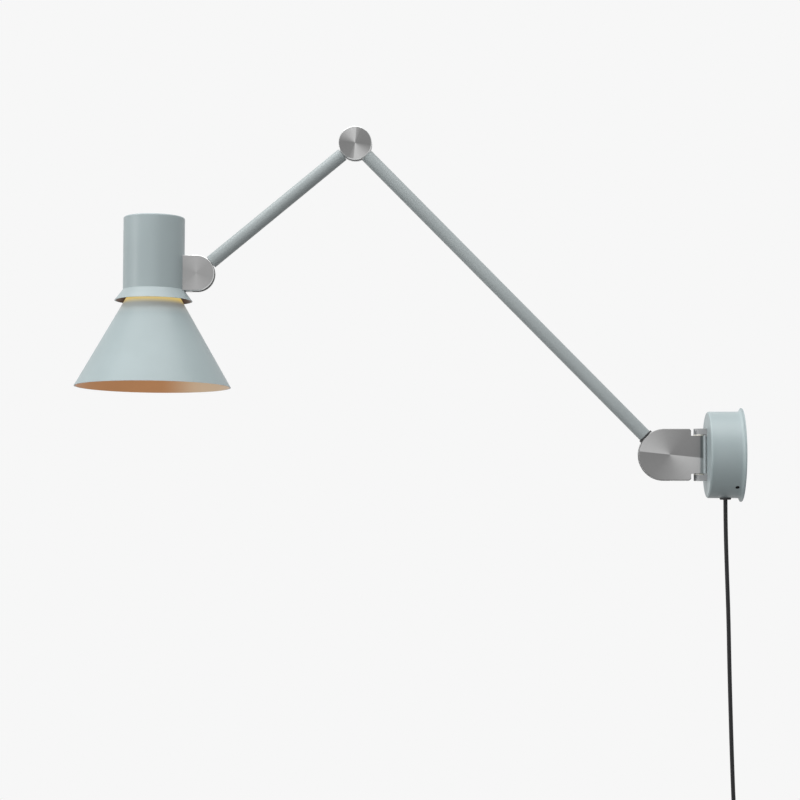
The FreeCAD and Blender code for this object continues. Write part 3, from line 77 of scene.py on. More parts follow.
# -------------------------------------------------------------------- lead
# Its points in millimetres: down from the cup to the coil, the coil, and on into the plug.
LEAD_ROUTE = [
    (-15.3, 0, -42.5), (-15.3, 0, -64), (-14.4, 0, -104), (-12.9, 0, -152),
    (-12.2, 0, -202), (-11.1, 0, -252), (-9.9, 0.1, -298), (-8.4, 2.6, -332),
    (-5.6, 11, -357), (-3.2, 17.119, -378), (-3.2, 17.119, -402),
]
PLUG_AXIS = (-16.55, 17.119)
LEAD_END = [(*PLUG_AXIS, -407), (*PLUG_AXIS, -416), (*PLUG_AXIS, -424.5)]
COIL_MIDDLE = Vector((-3.2, -12, -406))  # of its first layer
COIL_OUTER = 29.119
COIL_PITCH = 4.45
COIL_LAYERS = 4
LAYER_QUARTERS = 11
CHANGE_QUARTERS = 2  # quarter turns in which the lead moves on to the next layer
POINTS_PER_QUARTER = 3
SPLINE_CUT = 0.966  # a spline with 12 points a turn has this share of their radius


def coil_point(quarter):
    """A point of the coiled lead, so many quarter turns from where the winding starts."""
    layer = min(int(quarter // LAYER_QUARTERS), COIL_LAYERS - 1)
    along = quarter - layer * LAYER_QUARTERS
    inward = along if layer % 2 == 0 else LAYER_QUARTERS - along
    radius = (COIL_OUTER - COIL_PITCH * inward / 4) / SPLINE_CUT
    depth = 0
    for change in range(1, COIL_LAYERS):
        step = (quarter - change * LAYER_QUARTERS) / CHANGE_QUARTERS + 0.5
        depth += COIL_PITCH * min(max(step, 0), 1)
    angle = math.radians(90) * quarter
    return COIL_MIDDLE + Vector((-depth, radius * math.cos(angle), -radius * math.sin(angle)))


def lay_lead():
    """The black lead: down from the cup, wound into a tied coil, and on to its plug."""
    coil_steps = COIL_LAYERS * LAYER_QUARTERS * POINTS_PER_QUARTER
    points = [Vector(point) for point in LEAD_ROUTE]
    points += [coil_point(step / POINTS_PER_QUARTER) for step in range(1, coil_steps)]
    points += [Vector(point) for point in LEAD_END]
    line = bpy.data.curves.new("lead_line", "CURVE")
    line.dimensions = "3D"
    spline = line.splines.new("NURBS")
    spline.points.add(len(points) - 1)
    for knot, point in zip(spline.points, points):
        knot.co = (*(point / 1000), 1)
        knot.radius = LEAD_RADIUS
    spline.order_u = 3
    spline.use_endpoint_u = True
    line.resolution_u = 5
    line.bevel_depth = 1
    line.bevel_resolution = 4
    line.use_fill_caps = True
    cord = bpy.data.objects.new("lead_cord", line)
    bpy.context.scene.collection.objects.link(cord)
    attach(cord, "wall_mount")
    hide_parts("lead", "lead_coil", "lead_tail")
    return cord


# ---------------------------------------------------------- node arithmetic
class Value:
    """A number that a socket carries; arithmetic with it adds Math nodes."""

    def __init__(self, recipe, socket):
        self.recipe, self.socket = recipe, socket

    def math(self, operation, *terms):
        terms = dict(enumerate(terms))
        return self.recipe.value("ShaderNodeMath", {"operation": operation}, terms)

    def __add__(self, other):
        return self.math("ADD", self, other)

    def __mul__(self, other):
        return self.math("MULTIPLY", self, other)

    def __truediv__(self, other):
        return self.math("DIVIDE", self, other)

    def __pow__(self, other):
        return self.math("POWER", self, other)

    def __gt__(self, other):
        return self.math("GREATER_THAN", self, other)

    def __abs__(self):
        return self.math("ABSOLUTE", self)

    def __radd__(self, other):
        return self.math("ADD", other, self)

    def __rsub__(self, other):
        return self.math("SUBTRACT", other, self)


class Recipe:
    """The nodes of one finish, of the studio's air, or of one shape that repeats."""

    def __init__(self, tree):
        self.tree = tree

    def add(self, kind, settings=None, inputs=None, give=None):
        """Adds a node: its settings first, then its sockets; gives one output socket."""
        made = self.tree.nodes.new(kind)
        for setting, choice in (settings or {}).items():
            if setting == "stops":
                self.set_stops(made.color_ramp, choice)
            else:
                setattr(made, setting, choice)
        for name, value in (inputs or {}).items():
            self.feed(self.socket(made.inputs, name), value)
        if not made.outputs:
            return made
        return self.socket(made.outputs, 0 if give is None else give)

    def value(self, kind, settings=None, inputs=None, give=None):
        """Adds a node whose output is a number."""
        return Value(self, self.add(kind, settings, inputs, give))

    @staticmethod
    def set_stops(ramp, stops):
        while len(ramp.elements) < len(stops):
            ramp.elements.new(0.5)
        for element, (place, shade) in zip(ramp.elements, stops):
            element.position = place
            element.color = shade

    @staticmethod
    def socket(sockets, name):
        if isinstance(name, int):
            return [each for each in sockets if each.enabled][name]
        return next(each for each in sockets if each.name == name and each.enabled)

    def feed(self, socket, value):
        if isinstance(value, Value):
            value = value.socket
        if isinstance(value, bpy.types.NodeSocket):
            self.tree.links.new(value, socket)
        else:
            socket.default_value = value


class Finish(Recipe):
    """One material. Its patterns are laid in the lamp's own coordinates, in metres."""

    def __init__(self, name):
        self.material = bpy.data.materials.new(name)
        self.material.use_nodes = True
        super().__init__(self.material.node_tree)
        self.tree.nodes.clear()
        self.place = self.add("ShaderNodeTexCoord", give="Object")

    def centred(self, centre, turn=0.0, stretch=(1, 1, 1)):
        """Coordinates from a centre, stretched and turned about the axis to the front."""
        turned = Matrix.Rotation(turn, 3, "Y") @ Matrix.Diagonal(Vector(stretch)) @ Vector(centre)
        settings = {"vector_type": "POINT"}
        inputs = {
            "Vector": self.place, "Location": tuple(-turned),
            "Rotation": (0, turn, 0), "Scale": stretch,
        }
        return self.add("ShaderNodeMapping", settings, inputs)

    def parts(self, vector):
        """The three numbers of a vector."""
        made = self.add("ShaderNodeSeparateXYZ", None, {"Vector": vector})
        return [Value(self, each) for each in made.node.outputs]

    def grain(self, scale, detail=2.0, roughness=0.5, vector=None):
        """Even noise from 0 to 1; scale is in waves a metre."""
        inputs = {
            "Vector": vector or self.place, "Scale": scale,
            "Detail": detail, "Roughness": roughness,
        }
        return self.value("ShaderNodeTexNoise", {"noise_dimensions": "3D"}, inputs, "Fac")

    def lines(self, number, detail=2.0, roughness=0.5):
        """Noise along one number only, such as a distance from an axis."""
        inputs = {"W": number, "Scale": 1.0, "Detail": detail, "Roughness": roughness}
        return self.value("ShaderNodeTexNoise", {"noise_dimensions": "1D"}, inputs, "Fac")

    def ease(self, number, low, high):
        """A smooth step from 0, where a number is low, to 1, where it is high."""
        inputs = {"Value": number, "From Min": low, "From Max": high}
        return self.value("ShaderNodeMapRange", {"interpolation_type": "SMOOTHSTEP"}, inputs)

    def mix(self, share, first, second):
        """The first colour where share is 0, the second where it is 1."""
        inputs = {"Factor": share, "A": first, "B": second}
        return self.add("ShaderNodeMix", {"data_type": "RGBA"}, inputs, "Result")

    def shaded(self, colour, dark):
        """A colour times a number that varies."""
        colour = colour[:3] if isinstance(colour, tuple) else colour
        grey = self.add("ShaderNodeCombineXYZ", None, {"X": dark, "Y": dark, "Z": dark})
        return self.add("ShaderNodeVectorMath", {"operation": "MULTIPLY"}, {0: colour, 1: grey})

    def bump(self, height, depth):
        """Relief whose height from 0 to 1 is so many metres."""
        inputs = {"Height": height, "Distance": depth, "Strength": 1.0}
        return self.add("ShaderNodeBump", None, inputs)

    def surface(self, **sockets):
        """The finish's surface; words of a socket's name are joined by an underscore."""
        inputs = {}
        for name, value in sockets.items():
            inputs[name.replace("_", " ")] = value
        return self.put(self.add("ShaderNodeBsdfPrincipled", None, inputs))

    def put(self, shader):
        """Ends the tree with a shader."""
        self.add("ShaderNodeOutputMaterial", None, {"Surface": shader})
        return self.material


def rgb(red, green, blue):
    """A colour as a screen shows it, from 0 to 255, as the renderer's light."""
    def light(share):
        share /= 255
        return share / 12.92 if share <= 0.04045 else ((share + 0.055) / 1.055) ** 2.4

    return (light(red), light(green), light(blue), 1.0)


# Paint, and the lining of the shade. Clouds and skin are in waves a metre, lengths in metres.
PAINT = rgb(172, 185, 187)
PAINT_SHADE = rgb(166, 180, 182)
# The cone's paint is the cap's paint a shade darker: painted shade.
CONE_PAINT_SHADED = rgb(168, 182, 184)
TUBE_PAINT = rgb(167, 175, 176)
TUBE_SHADE = rgb(163, 171, 172)
PAINT_CLOUDS = 14
PAINT_SKIN = 900
SKIN_DEPTH = 0.000006
SATIN = 0.36
TUBE_SATIN = 0.26
PAINT_SHINE = 0.45
LINING = rgb(190, 139, 97)
# On the cone the lining turns paler towards the arms' side: a painted reflection of the light from
# the left.
LINING_PAINTED_REFLECTION = rgb(208, 184, 156)
# The cap's lining is darker than the cone's: painted shade inside the flare.
LINING_PAINTED_SHADE = rgb(88, 60, 38)
PAINTED_REFLECTION_SPAN = (-0.004, 0.042)  # to the right of the shade's axis, from the first to the second

# A painted glow on the neck of the cone, standing for the bulb's light, and the heights where it
# begins and
#  is full; below it, a fainter painted light that lifts the flare's shadow, with its heights.
NECK_PAINTED_GLOW = (0.66, 0.48, 0.14, 1.0)
NECK_GLOW_HEIGHTS = (-0.0315, -0.0245)
LOW_PAINTED_LIGHT = (0.14, 0.125, 0.105)
LOW_PAINTED_LIGHT_HEIGHTS = (-0.042, -0.031)

# Ground metal. Each sheen is a painted reflection: it says how bright a face is painted, from the
# sheen's edge to the next one; its edge is an angle from the lamp's back, upwards as the front
# view shows it.
WALL_PAINTED_SHEEN = ((0.0, 186), (0.1, 180), (0.42, 150), (0.7, 134), (0.99, 130), (1.0, 186))
ELBOW_PAINTED_SHEEN = ((0.0, 158), (0.1, 134), (0.5, 128), (0.74, 180), (0.9, 196), (0.98, 196), (1.0, 158))
HEAD_PAINTED_SHEEN = ((0.0, 176), (0.3, 160), (0.6, 158), (1.0, 176))
WALL_SHEEN_EDGE = math.radians(173)
ELBOW_SHEEN_EDGE = math.radians(83)
HEAD_SHEEN_EDGE = math.radians(90)
# The wall block's grinding and its painted sheen both centre here.
WALL_GRIND = WALL_PIVOT + Vector((0.005, 0, 0))  # where the grinding of the wall block centres
GRIND_DEPTH = 0.00004
SCRATCH_DEPTH = 0.000015
PLATING_DEPTH = 0.000006
SPUN = rgb(150, 151, 151)
LUG_METAL = rgb(160, 161, 162)
# The rims' colours are painted light and shade: a matt, nearly white rim on the wall block is a
# painted  highlight on its tongue's rounded end; the elbow's fork and the rims of the elbow discs
# and head covers are  paler than the faces, painted light as from below; the wall covers' rims are
# darker, painted shade.
BLOCK_RIM_PAINTED_HIGHLIGHT = rgb(236, 238, 239)
RIM_PAINTED_LIGHT = rgb(204, 205, 205)
RIM_PAINTED_SHADE = rgb(112, 112, 112)


def painted(name, paint, shade, rough):
    """Satin blue-grey paint: even, with the faint skin of a sprayed coat."""
    finish = Finish(name)
    cloud = finish.grain(PAINT_CLOUDS, 3)
    skin = finish.grain(PAINT_SKIN)
    colour = finish.mix(finish.ease(cloud, 0.35, 0.65), shade, paint)
    return finish.surface(
        Base_Color=colour, Roughness=rough + cloud * 0.06 + skin * 0.04,
        Normal=finish.bump(skin, SKIN_DEPTH), Specular_IOR_Level=PAINT_SHINE,
    )


def painted_and_lined(name, colour, lining, turned, painted_glow=0.0):
    """The shade's sheet: satin paint outside, a warm metallic lining inside.

    The lining changes to its turned colour towards the side that the arms are on; on the cone that
    is a paler painted reflection. Where the glow's strength is above 0, the paint on the neck
    glows warm, a painted glow standing for the bulb's light, with a fainter painted light below it
    where the flare's shadow falls. The renderer doesn't take that glow for a lamp, because that
    puts more grain on the tubes.
    """
    finish = Finish(name)
    finish.material.cycles.emission_sampling = "NONE"
    cloud = finish.grain(PAINT_CLOUDS, 3)
    skin = finish.grain(PAINT_SKIN)
    across, front, up = finish.parts(finish.centred(SHADE_AXIS, -SHADE_LEAN))
    facing = finish.add("ShaderNodeTexCoord", give="Normal")
    face_across, face_front, _face_up = finish.parts(facing)
    off_axis = (across * across + front * front + 0.000001) ** 0.5
    outward = (across * face_across + front * face_front) / off_axis
    outside = finish.ease(outward, -0.2, -0.08)
    paint = finish.shaded(colour, 0.94 + finish.ease(cloud, 0.35, 0.65) * 0.06)
    inside = finish.mix(finish.ease(across, *PAINTED_REFLECTION_SPAN), lining, turned)
    inside = finish.shaded(inside, 0.9 + cloud * 0.2)
    # Painted glow on the neck, and a fainter painted light below it.
    warm = finish.ease(up, *NECK_GLOW_HEIGHTS) * outside
    low = finish.shaded(LOW_PAINTED_LIGHT, finish.ease(up, *LOW_PAINTED_LIGHT_HEIGHTS) * outside)
    return finish.surface(
        Base_Color=finish.mix(outside, inside, paint),
        Metallic=(1 - outside) * 0.85,
        Roughness=SATIN + cloud * 0.06 + skin * 0.04,
        Normal=finish.bump(skin, SKIN_DEPTH),
        Specular_IOR_Level=PAINT_SHINE,
        Emission_Color=finish.mix(warm, low, NECK_PAINTED_GLOW),
        Emission_Strength=painted_glow,
    )


def spun_face(name, centre, edge, sheen_fan, rim, rim_metal=1.0):
    """Bare metal ground in rings about a centre. Its faces are painted with a sheen in sectors,
    a painted reflection, and its edges take the rim's colour.

    The sheen's stops run clockwise from its edge through half a turn, and then again.
    """
    finish = Finish(name)
    across, _front, up = finish.parts(finish.centred(centre))
    radius = (across * across + up * up) ** 0.5
    turn = (edge - up.math("ARCTAN2", up, across)) / math.pi + 4
    _out_across, out_front, _out_up = finish.parts(finish.add("ShaderNodeTexCoord", give="Normal"))
    face = finish.ease(abs(out_front), 0.75, 0.95)
    stops = [(place, rgb(grey, grey, grey)) for place, grey in sheen_fan]
    painted_sheen = finish.add("ShaderNodeValToRGB", {"stops": stops}, {0: turn.math("FRACT", turn)})
    rays = finish.lines(turn * 160)
    rings = finish.lines(radius * 2600, 3, 0.6)
    bands = finish.lines(radius * 350)
    stain = finish.grain(60)
    shade = 0.92 + bands * 0.06 + stain * 0.04 + rays * 0.06
    colour = finish.mix(face, rim, finish.shaded(painted_sheen, shade))
    return finish.surface(
        Base_Color=colour, Metallic=rim_metal + face * (1 - rim_metal),
        Roughness=0.26 + bands * 0.06 + stain * 0.05,
        Normal=finish.bump(rings, GRIND_DEPTH),
    )


def brushed(name, centre, turn, colour=SPUN, metal=1.0):
    """Bare metal brushed along one direction."""
    finish = Finish(name)
    scratch = finish.grain(2400, 2, 0.6, finish.centred(centre, turn, (0.02, 1, 1)))
    stain = finish.grain(50)
    shade = 0.92 + scratch * 0.1 + stain * 0.06
    return finish.surface(
        Base_Color=finish.shaded(colour, shade), Metallic=metal,
        Roughness=0.3 + scratch * 0.12,
        Normal=finish.bump(scratch, SCRATCH_DEPTH),
    )


def plated(name, colour, rough=0.3, clouds=120):
    """Zinc, nickel, brass, steel or cast metal, with a faint cloud in its shine."""
    finish = Finish(name)
    cloud = finish.grain(clouds, 3)
    fine = finish.grain(3200)
    return finish.surface(
        Base_Color=finish.shaded(colour, 0.9 + cloud * 0.18), Metallic=1.0,
        Roughness=rough + cloud * 0.14 + fine * 0.05, Normal=finish.bump(fine, PLATING_DEPTH),
    )


def moulded(name, colour, rough=0.42, spark=0.00002, depth=0.0):
    """Plastic out of a spark-eroded mould; depth is how much light goes into it."""
    finish = Finish(name)
    erosion = finish.grain(2600, 2, 0.6)
    cloud = finish.grain(40)
    return finish.surface(
        Base_Color=finish.shaded(colour, 0.94 + cloud * 0.12),
        Roughness=rough + erosion * 0.12 + cloud * 0.04,
        Normal=finish.bump(erosion, spark), Subsurface_Weight=depth,
        Subsurface_Radius=(0.002, 0.0018, 0.0014),
    )


def lead_sheath():
    """Soft black sheath of the lead, with the drawn skin of extruded plastic."""
    finish = Finish("lead_sheath")
    skin = finish.grain(1500)
    cloud = finish.grain(30)
    return finish.surface(
        Base_Color=finish.shaded(rgb(20, 20, 22), 0.85 + cloud * 0.3),
        Roughness=0.42 + cloud * 0.1 + skin * 0.05, Normal=finish.bump(skin, 0.00001),
        Specular_IOR_Level=0.35,
    )


def opal_glass():
    """The bulb's milky glass, warm from within."""
    finish = Finish("opal_glass")
    cloud = finish.grain(60)
    return finish.surface(
        Base_Color=finish.mix(cloud, rgb(246, 240, 228), rgb(250, 246, 238)),
        Roughness=0.16 + cloud * 0.06,
        Subsurface_Weight=0.4, Subsurface_Radius=(0.006, 0.005, 0.004),
        Emission_Color=rgb(255, 190, 110), Emission_Strength=1.2,
    )


# ---------------------------------------------------------- repeated shapes
class Pattern(Recipe):
    """A Geometry Nodes tree that repeats one small mesh, or draws a ridge of its own."""

    def __init__(self, name, sizes):
        super().__init__(bpy.data.node_groups.new(name, "GeometryNodeTree"))
        outside = self.tree.interface
        outside.new_socket("Geometry", in_out="INPUT", socket_type="NodeSocketGeometry")
        self.sizes = {}
        for size, value in sizes.items():
            kind = "NodeSocketInt" if isinstance(value, int) else "NodeSocketFloat"
            made = outside.new_socket(size, in_out="INPUT", socket_type=kind)
            self.sizes[made.identifier] = value
        outside.new_socket("Geometry", in_out="OUTPUT", socket_type="NodeSocketGeometry")
        given = self.tree.nodes.new("NodeGroupInput")
        self.given = {each.name: Value(self, each) for each in given.outputs if each.name}

    def copies(self, points, rotation=None, scale=None):
        """The small mesh on each of the points."""
        inputs = {"Points": points, "Instance": self.given["Geometry"]}
        if rotation is not None:
            inputs["Rotation"] = rotation
        if scale is not None:
            inputs["Scale"] = scale
        return self.add("GeometryNodeInstanceOnPoints", None, inputs)

    def make(self, name, mesh, shape, material, place, body, slot):
        """Ends the tree, turns what it makes into a plain mesh and lets that ride a body."""
        whole = self.add("GeometryNodeRealizeInstances", None, {"Geometry": shape})
        dressed = self.add(
            "GeometryNodeSetMaterial", None, {"Geometry": whole, "Material": material}
        )
        self.feed(self.tree.nodes.new("NodeGroupOutput").inputs[0], dressed)
        piece = bpy.data.objects.new(name, mesh)
        bpy.context.scene.collection.objects.link(piece)
        pattern = piece.modifiers.new("pattern", "NODES")
        pattern.node_group = self.tree
        for key, value in self.sizes.items():
            pattern[key] = value
        seen = piece.evaluated_get(bpy.context.evaluated_depsgraph_get())
        result = bpy.data.meshes.new_from_object(seen)
        piece.modifiers.remove(pattern)
        result.transform(place)
        piece.data = result
        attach(piece, body)


def bar(name, size, bevel):
    """A small bar about the origin with its edges rounded."""
    mesh = bpy.data.meshes.new(name)
    form = bmesh.new()
    bmesh.ops.create_cube(form, size=1)
    bmesh.ops.scale(form, vec=size, verts=form.verts)
    bmesh.ops.bevel(
        form, geom=form.edges[:], offset=bevel, segments=2, profile=0.5, affect="EDGES"
    )
    form.to_mesh(mesh)
    form.free()
    return mesh


def ring_of_bars(name, size, bevel, count, radius, material, place, body, slot):
    """Bars that stand round an axis, as the grip of a nut has them."""
    pattern = Pattern(name, {"Count": count, "Radius": radius})
    points = pattern.add("GeometryNodeMeshCircle", None, {
        "Vertices": pattern.given["Count"], "Radius": pattern.given["Radius"],
    }, "Mesh")
    turn = pattern.value("GeometryNodeInputIndex") * math.tau / pattern.given["Count"]
    rotation = pattern.add("ShaderNodeCombineXYZ", None, {"Z": turn})
    shape = pattern.copies(points, rotation)
    pattern.make(name, bar(name, size, bevel), shape, material, place, body, slot)


def row_of_bars(name, mesh, count, step, growth, material, place, body, slot):
    """Copies of a mesh in a row along Z; growth is how much wider each next one is."""
    pattern = Pattern(name, {"Count": count, "Step": step, "Growth": growth})
    offset = pattern.add("ShaderNodeCombineXYZ", None, {"Z": pattern.given["Step"]})
    points = pattern.add("GeometryNodeMeshLine", None, {
        "Count": pattern.given["Count"], "Offset": offset,
    })
    wide = pattern.value("GeometryNodeInputIndex") * pattern.given["Growth"] + 1
    scale = pattern.add("ShaderNodeCombineXYZ", None, {"X": wide, "Y": wide, "Z": 1.0})
    shape = pattern.copies(points, None, scale)
    pattern.make(name, mesh, shape, material, place, body, slot)


def ridge(name, turns, radius, pitch, ridge_radius, material, place, body, slot):
    """A thread: one ridge that climbs round an axis."""
    pattern = Pattern(name, {
        "Turns": turns, "Radius": radius, "Pitch": pitch, "Ridge": ridge_radius,
    })
    given = pattern.given
    line = pattern.add("GeometryNodeCurveSpiral", None, {
        "Resolution": 48, "Rotations": given["Turns"], "Start Radius": given["Radius"],
        "End Radius": given["Radius"], "Height": given["Pitch"] * given["Turns"],
    })
    profile = pattern.add("GeometryNodeCurvePrimitiveCircle", None, {
        "Resolution": 8, "Radius": given["Ridge"],
    }, "Curve")
    shape = pattern.add("GeometryNodeCurveToMesh", None, {
        "Curve": line, "Profile Curve": profile, "Fill Caps": True,
    })
    mesh = bpy.data.meshes.new(name)
    pattern.make(name, mesh, shape, material, place, body, slot)


def thin_ring(name, radius, thickness, height):
    """A rounded ring about Z."""
    mesh = bpy.data.meshes.new(name)
    form = bmesh.new()
    around, corners = 40, 8
    grid = []
    for step in range(around):
        angle = math.tau * step / around
        section = []
        for corner in range(corners):
            turn = math.tau * corner / corners
            reach = radius + thickness * math.cos(turn)
            place = (reach * math.cos(angle), reach * math.sin(angle), height * math.sin(turn))
            section.append(form.verts.new(place))
        grid.append(section)
    for step in range(around):
        here, there = grid[step], grid[(step + 1) % around]
        for corner in range(corners):
            after = (corner + 1) % corners
            form.faces.new((here[corner], there[corner], there[after], here[after]))
    for face in form.faces:
        face.smooth = True
    form.to_mesh(mesh)
    form.free()
    return mesh


SHADE = Matrix.Translation(SHADE_AXIS) @ Matrix.Rotation(SHADE_LEAN, 4, "Y")
DOWNWARD = Matrix.Rotation(math.pi, 4, "X")


def at(x, y, z):
    """A place in millimetres, in the lamp's frame or in the shade's."""
    return Matrix.Translation(Vector((x, y, z)) / 1000)


def add_small_relief(white, black, metal):
    """Grips, threads and teeth, which the solids leave plain."""
    ring_of_bars(
        "shade_ring_grip", size=(0.0016, 0.0013, 0.0038), bevel=0.0003, count=24, radius=0.0151,
        material=white, place=SHADE @ at(0, 0, -17.6), body="head", slot="white_plastic",
    )
    ridge(
        "skirt_thread", turns=10.5, radius=0.0125, pitch=0.0021, ridge_radius=0.00045,
        material=white, place=SHADE @ at(0, 0, -43), body="head", slot="white_plastic",
    )
    ring_of_bars(
        "bezel_knurl", size=(0.0005, 0.0006, 0.0008), bevel=0.00012, count=60, radius=0.0084,
        material=metal, place=SHADE @ at(0, 0, 53.9), body="head", slot="brushed_grey_metal",
    )
    ring = thin_ring("relief_ring", radius=0.0032, thickness=0.0004, height=0.0008)
    row_of_bars(
        "plug_relief_rings", ring, count=7, step=0.0028, growth=0.065, material=black,
        place=at(*PLUG_AXIS, -426.4) @ DOWNWARD, body="wall_mount", slot="black_plastic",
    )
    for side, face in (("front", -23.4), ("back", -9.7)):
        grip = bar("grip_bar", size=(0.0012, 0.018, 0.0012), bevel=0.0003)
        row_of_bars(
            f"plug_grip_{side}", grip, count=6, step=0.0024, growth=-0.04, material=black,
            place=at(face, PLUG_AXIS[1], -461) @ DOWNWARD, body="wall_mount",
            slot="black_plastic",
        )
    tooth = bar("tie_tooth", size=(0.0006, 0.0034, 0.0007), bevel=0.00015)
    row_of_bars(
        "tie_teeth", tooth, count=13, step=0.0013, growth=0.0, material=black,
        place=at(-19.7, -12, -391), body="wall_mount", slot="black_plastic",
    )


def dress_nodes():
    """Gives each solid its finish, and gives back the lead's."""
    paint = painted("satin_paint", PAINT, PAINT_SHADE, SATIN)
    tube = painted("satin_paint_tubes", TUBE_PAINT, TUBE_SHADE, TUBE_SATIN)
    lined = painted_and_lined("satin_paint_copper_lining", CONE_PAINT_SHADED, LINING, LINING_PAINTED_REFLECTION, 1.0)
    capped = painted_and_lined("satin_paint_brown_lining", PAINT, LINING_PAINTED_SHADE, LINING_PAINTED_SHADE)
    zinc = plated("zinc_plate", rgb(204, 206, 208))
    steel = plated("turned_steel", rgb(178, 178, 180), 0.26, 300)
    black_oxide = plated("black_oxide", rgb(22, 22, 24), 0.6, 200)
    cast = plated("machined_casting", rgb(164, 165, 166), 0.34, 90)
    nylon = moulded("nylon", rgb(232, 229, 220), 0.5, 0.00001, 0.3)
    black = moulded("black_plastic", rgb(36, 36, 38))
    white = moulded("white_plastic", rgb(236, 234, 226), 0.34, 0.00001, 0.2)
    brass = plated("brass", rgb(214, 178, 106))
    nickel = plated("nickel", rgb(206, 204, 198), 0.18)
    sheath = lead_sheath()
    glass = opal_glass()
    knuckle = brushed("brushed_head_knuckle", HEAD_PIVOT, 0.0)
    fork = brushed("brushed_elbow_fork", ELBOW, LOWER_ARM_RISE, RIM_PAINTED_LIGHT)
    lug = brushed("brushed_lugs", SWIVEL_PIN, 0.0, LUG_METAL, 0.5)
    block = spun_face("spun_wall_block", WALL_GRIND, WALL_SHEEN_EDGE, WALL_PAINTED_SHEEN, BLOCK_RIM_PAINTED_HIGHLIGHT, 0.0)
    wall_covers = spun_face("spun_wall_covers", WALL_GRIND, WALL_SHEEN_EDGE, WALL_PAINTED_SHEEN, RIM_PAINTED_SHADE)
    discs = spun_face("spun_elbow_discs", ELBOW, ELBOW_SHEEN_EDGE, ELBOW_PAINTED_SHEEN, RIM_PAINTED_LIGHT)
    head_covers = spun_face("spun_head_covers", HEAD_PIVOT, HEAD_SHEEN_EDGE, HEAD_PAINTED_SHEEN, RIM_PAINTED_LIGHT)
    finishes = {
        paint: ["wall_cup"],
        tube: ["lower_arm_tube", "upper_arm_tube"],
        lined: ["cone_shade"],
        capped: ["cap_shell"],
        zinc: [
            "wall_bracket", "lug_backing_plate", "lampholder_bracket", "lampholder_nipple",
            "lampholder_nut", "shade_spider",
        ],
        steel: [
            "swivel_pin", "lug_screws", "wall_pivot_bolt", "elbow_bolt", "head_pivot_bolt",
            "knuckle_screws",
        ],
        black_oxide: ["cup_grub_screws"],
        cast: ["lower_arm_wall_eye", "upper_arm_elbow_eye", "upper_arm_head_eye"],
        nylon: ["swivel_washers", "wall_pivot_washers", "elbow_washers", "head_pivot_washers"],
        black: [
            "lead_bush", "coil_tie", "plug_body", "lower_arm_saddle", "switch_body",
            "switch_button",
        ],
        white: [
            "terminal_block", "lampholder_housing", "lampholder_skirt", "shade_ring_nut",
        ],
        brass: ["terminal_inserts", "lampholder_shell", "lampholder_contact"],
        nickel: ["plug_pins", "bulb_base"],
        sheath: ["lead", "lead_coil", "lead_tail", "lead_cores"],
        glass: ["bulb_glass"],
        block: ["wall_knuckle_fork"],
        wall_covers: ["wall_knuckle_near_cover", "wall_knuckle_far_cover"],
        discs: ["elbow_near_disc", "elbow_far_disc"],
        head_covers: ["head_knuckle_near_cover", "head_knuckle_far_cover"],
        lug: ["swivel_lug_top", "swivel_lug_bottom"],
        fork: ["elbow_fork"],
        knuckle: ["head_knuckle_fork", "switch_bezel"],
    }
    left = set(nodes)
    for material, names in finishes.items():
        for name in names:
            nodes[name].data.materials.clear()
            nodes[name].data.materials.append(material)
            left.discard(name)
    if left:
        raise SystemExit(f"no finish for {sorted(left)}")
    add_small_relief(white, black, knuckle)
    return sheath


# ------------------------------------------------------------------ studio
AIR_COLOUR = (0.93, 0.93, 0.93, 1)
SOFT_AIR = 0.36
LAMP_MIDDLE = (-0.32, 0, 0.12)
FLOOR_HEIGHT = -0.59
FLOOR_REACH = 9.0
FLOOR_LIFT = 0.42  # light added to the floor near the lamp, so that it ends as pale as the air
SHADOW_REACH = 0.8


def light_air():
    """White air behind the lamp and in its shine; a softer light on everything matt."""
    world = bpy.data.worlds.new("studio_air")
    bpy.context.scene.world = world
    world.use_nodes = True
    recipe = Recipe(world.node_tree)
    recipe.tree.nodes.clear()
    seen = seen_ray(recipe)
    soft = recipe.add("ShaderNodeBackground", None, {
        "Color": (1, 1, 1, 1), "Strength": SOFT_AIR,
    })
    white = recipe.add("ShaderNodeBackground", None, {"Color": AIR_COLOUR, "Strength": 1.0})
    both = recipe.add("ShaderNodeMixShader", None, {0: seen, 1: soft, 2: white})
    recipe.add("ShaderNodeOutputWorld", None, {"Surface": both})


def seen_ray(recipe):
    """1 for what the camera sees, straight or in metal or through glass."""
    made = recipe.add("ShaderNodeLightPath").node
    rays = [Value(recipe, made.outputs[name]) for name in (
        "Is Camera Ray", "Is Glossy Ray", "Is Transmission Ray",
    )]
    return rays[0] + rays[1] + rays[2] > 0.5


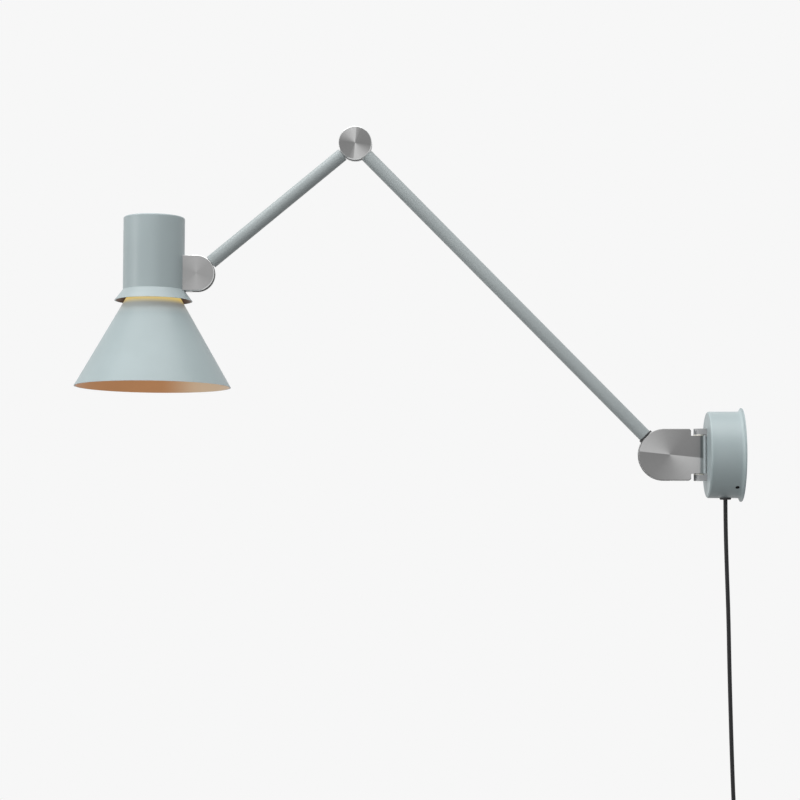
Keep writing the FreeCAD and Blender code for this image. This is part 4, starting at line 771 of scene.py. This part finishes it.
def lay_floor():
    """A pale floor below the lamp in every pose.

    It keeps the lamp's shadow near the lamp and is as white as the air farther off. To rays
    that only carry light it is darker, and from below it is clear.
    """
    corners = [(x * FLOOR_REACH, y * FLOOR_REACH) for x, y in ((-1, -1), (1, -1), (1, 1), (-1, 1))]
    mesh = bpy.data.meshes.new("floor")
    mesh.from_pydata([(x, y, FLOOR_HEIGHT) for x, y in corners], [], [(0, 1, 2, 3)])
    floor = bpy.data.objects.new("floor", mesh)
    bpy.context.scene.collection.objects.link(floor)
    finish = Finish("pale_floor")
    across, front, _up = finish.parts(finish.centred((-0.3, 0, 0)))
    distance = (across * across + front * front) ** 0.5
    mottle = finish.grain(3)
    matt = finish.add("ShaderNodeBsdfDiffuse", None, {
        "Color": finish.shaded(rgb(196, 196, 196), 0.99 + mottle * 0.02),
    })
    lift = finish.add("ShaderNodeEmission", None, {
        "Color": (1, 1, 1, 1), "Strength": FLOOR_LIFT,
    })
    near = finish.add("ShaderNodeAddShader", None, {0: matt, 1: lift})
    white = finish.add("ShaderNodeEmission", None, {"Color": AIR_COLOUR, "Strength": 1.0})
    far = finish.ease(distance, SHADOW_REACH * 0.5, SHADOW_REACH)
    shown = finish.add("ShaderNodeMixShader", None, {0: far, 1: near, 2: white})
    dim = finish.add("ShaderNodeBsdfDiffuse", None, {"Color": rgb(104, 104, 104)})
    seen = finish.add("ShaderNodeMixShader", None, {0: seen_ray(finish), 1: dim, 2: shown})
    under = finish.add("ShaderNodeNewGeometry", give="Backfacing")
    clear = finish.add("ShaderNodeBsdfTransparent")
    both = finish.add("ShaderNodeMixShader", None, {0: under, 1: seen, 2: clear})
    mesh.materials.append(finish.put(both))


def hang_light(name, place, width, height, power):
    """A soft box: an area light that faces the lamp's middle."""
    light = bpy.data.lights.new(name, "AREA")
    light.shape = "RECTANGLE"
    light.size = width
    light.size_y = height
    light.energy = power
    made = bpy.data.objects.new(name, light)
    made.location = place
    aim = Vector(LAMP_MIDDLE) - Vector(place)
    made.rotation_euler = aim.to_track_quat("-Z", "Y").to_euler()
    bpy.context.scene.collection.objects.link(made)
    return made


def light_studio():
    """Soft boxes above and to the left, and a weak front fill that no metal shows."""
    hang_light("top_soft_box", (-0.5, -0.35, 1.7), width=2.4, height=1.6, power=32)
    hang_light("side_soft_box", (-3.2, -1.1, 0.4), width=0.6, height=2.4, power=24)
    fill = hang_light("front_fill", (-0.8, -2.3, 0.0), width=1.6, height=1.2, power=15)
    fill.visible_glossy = False


aim_camera()
sheath = dress_nodes()
cord = lay_lead()
cord.data.materials.append(sheath)
lay_floor()
light_air()
light_studio()

scene = bpy.context.scene
scene.view_settings.view_transform = "Standard"
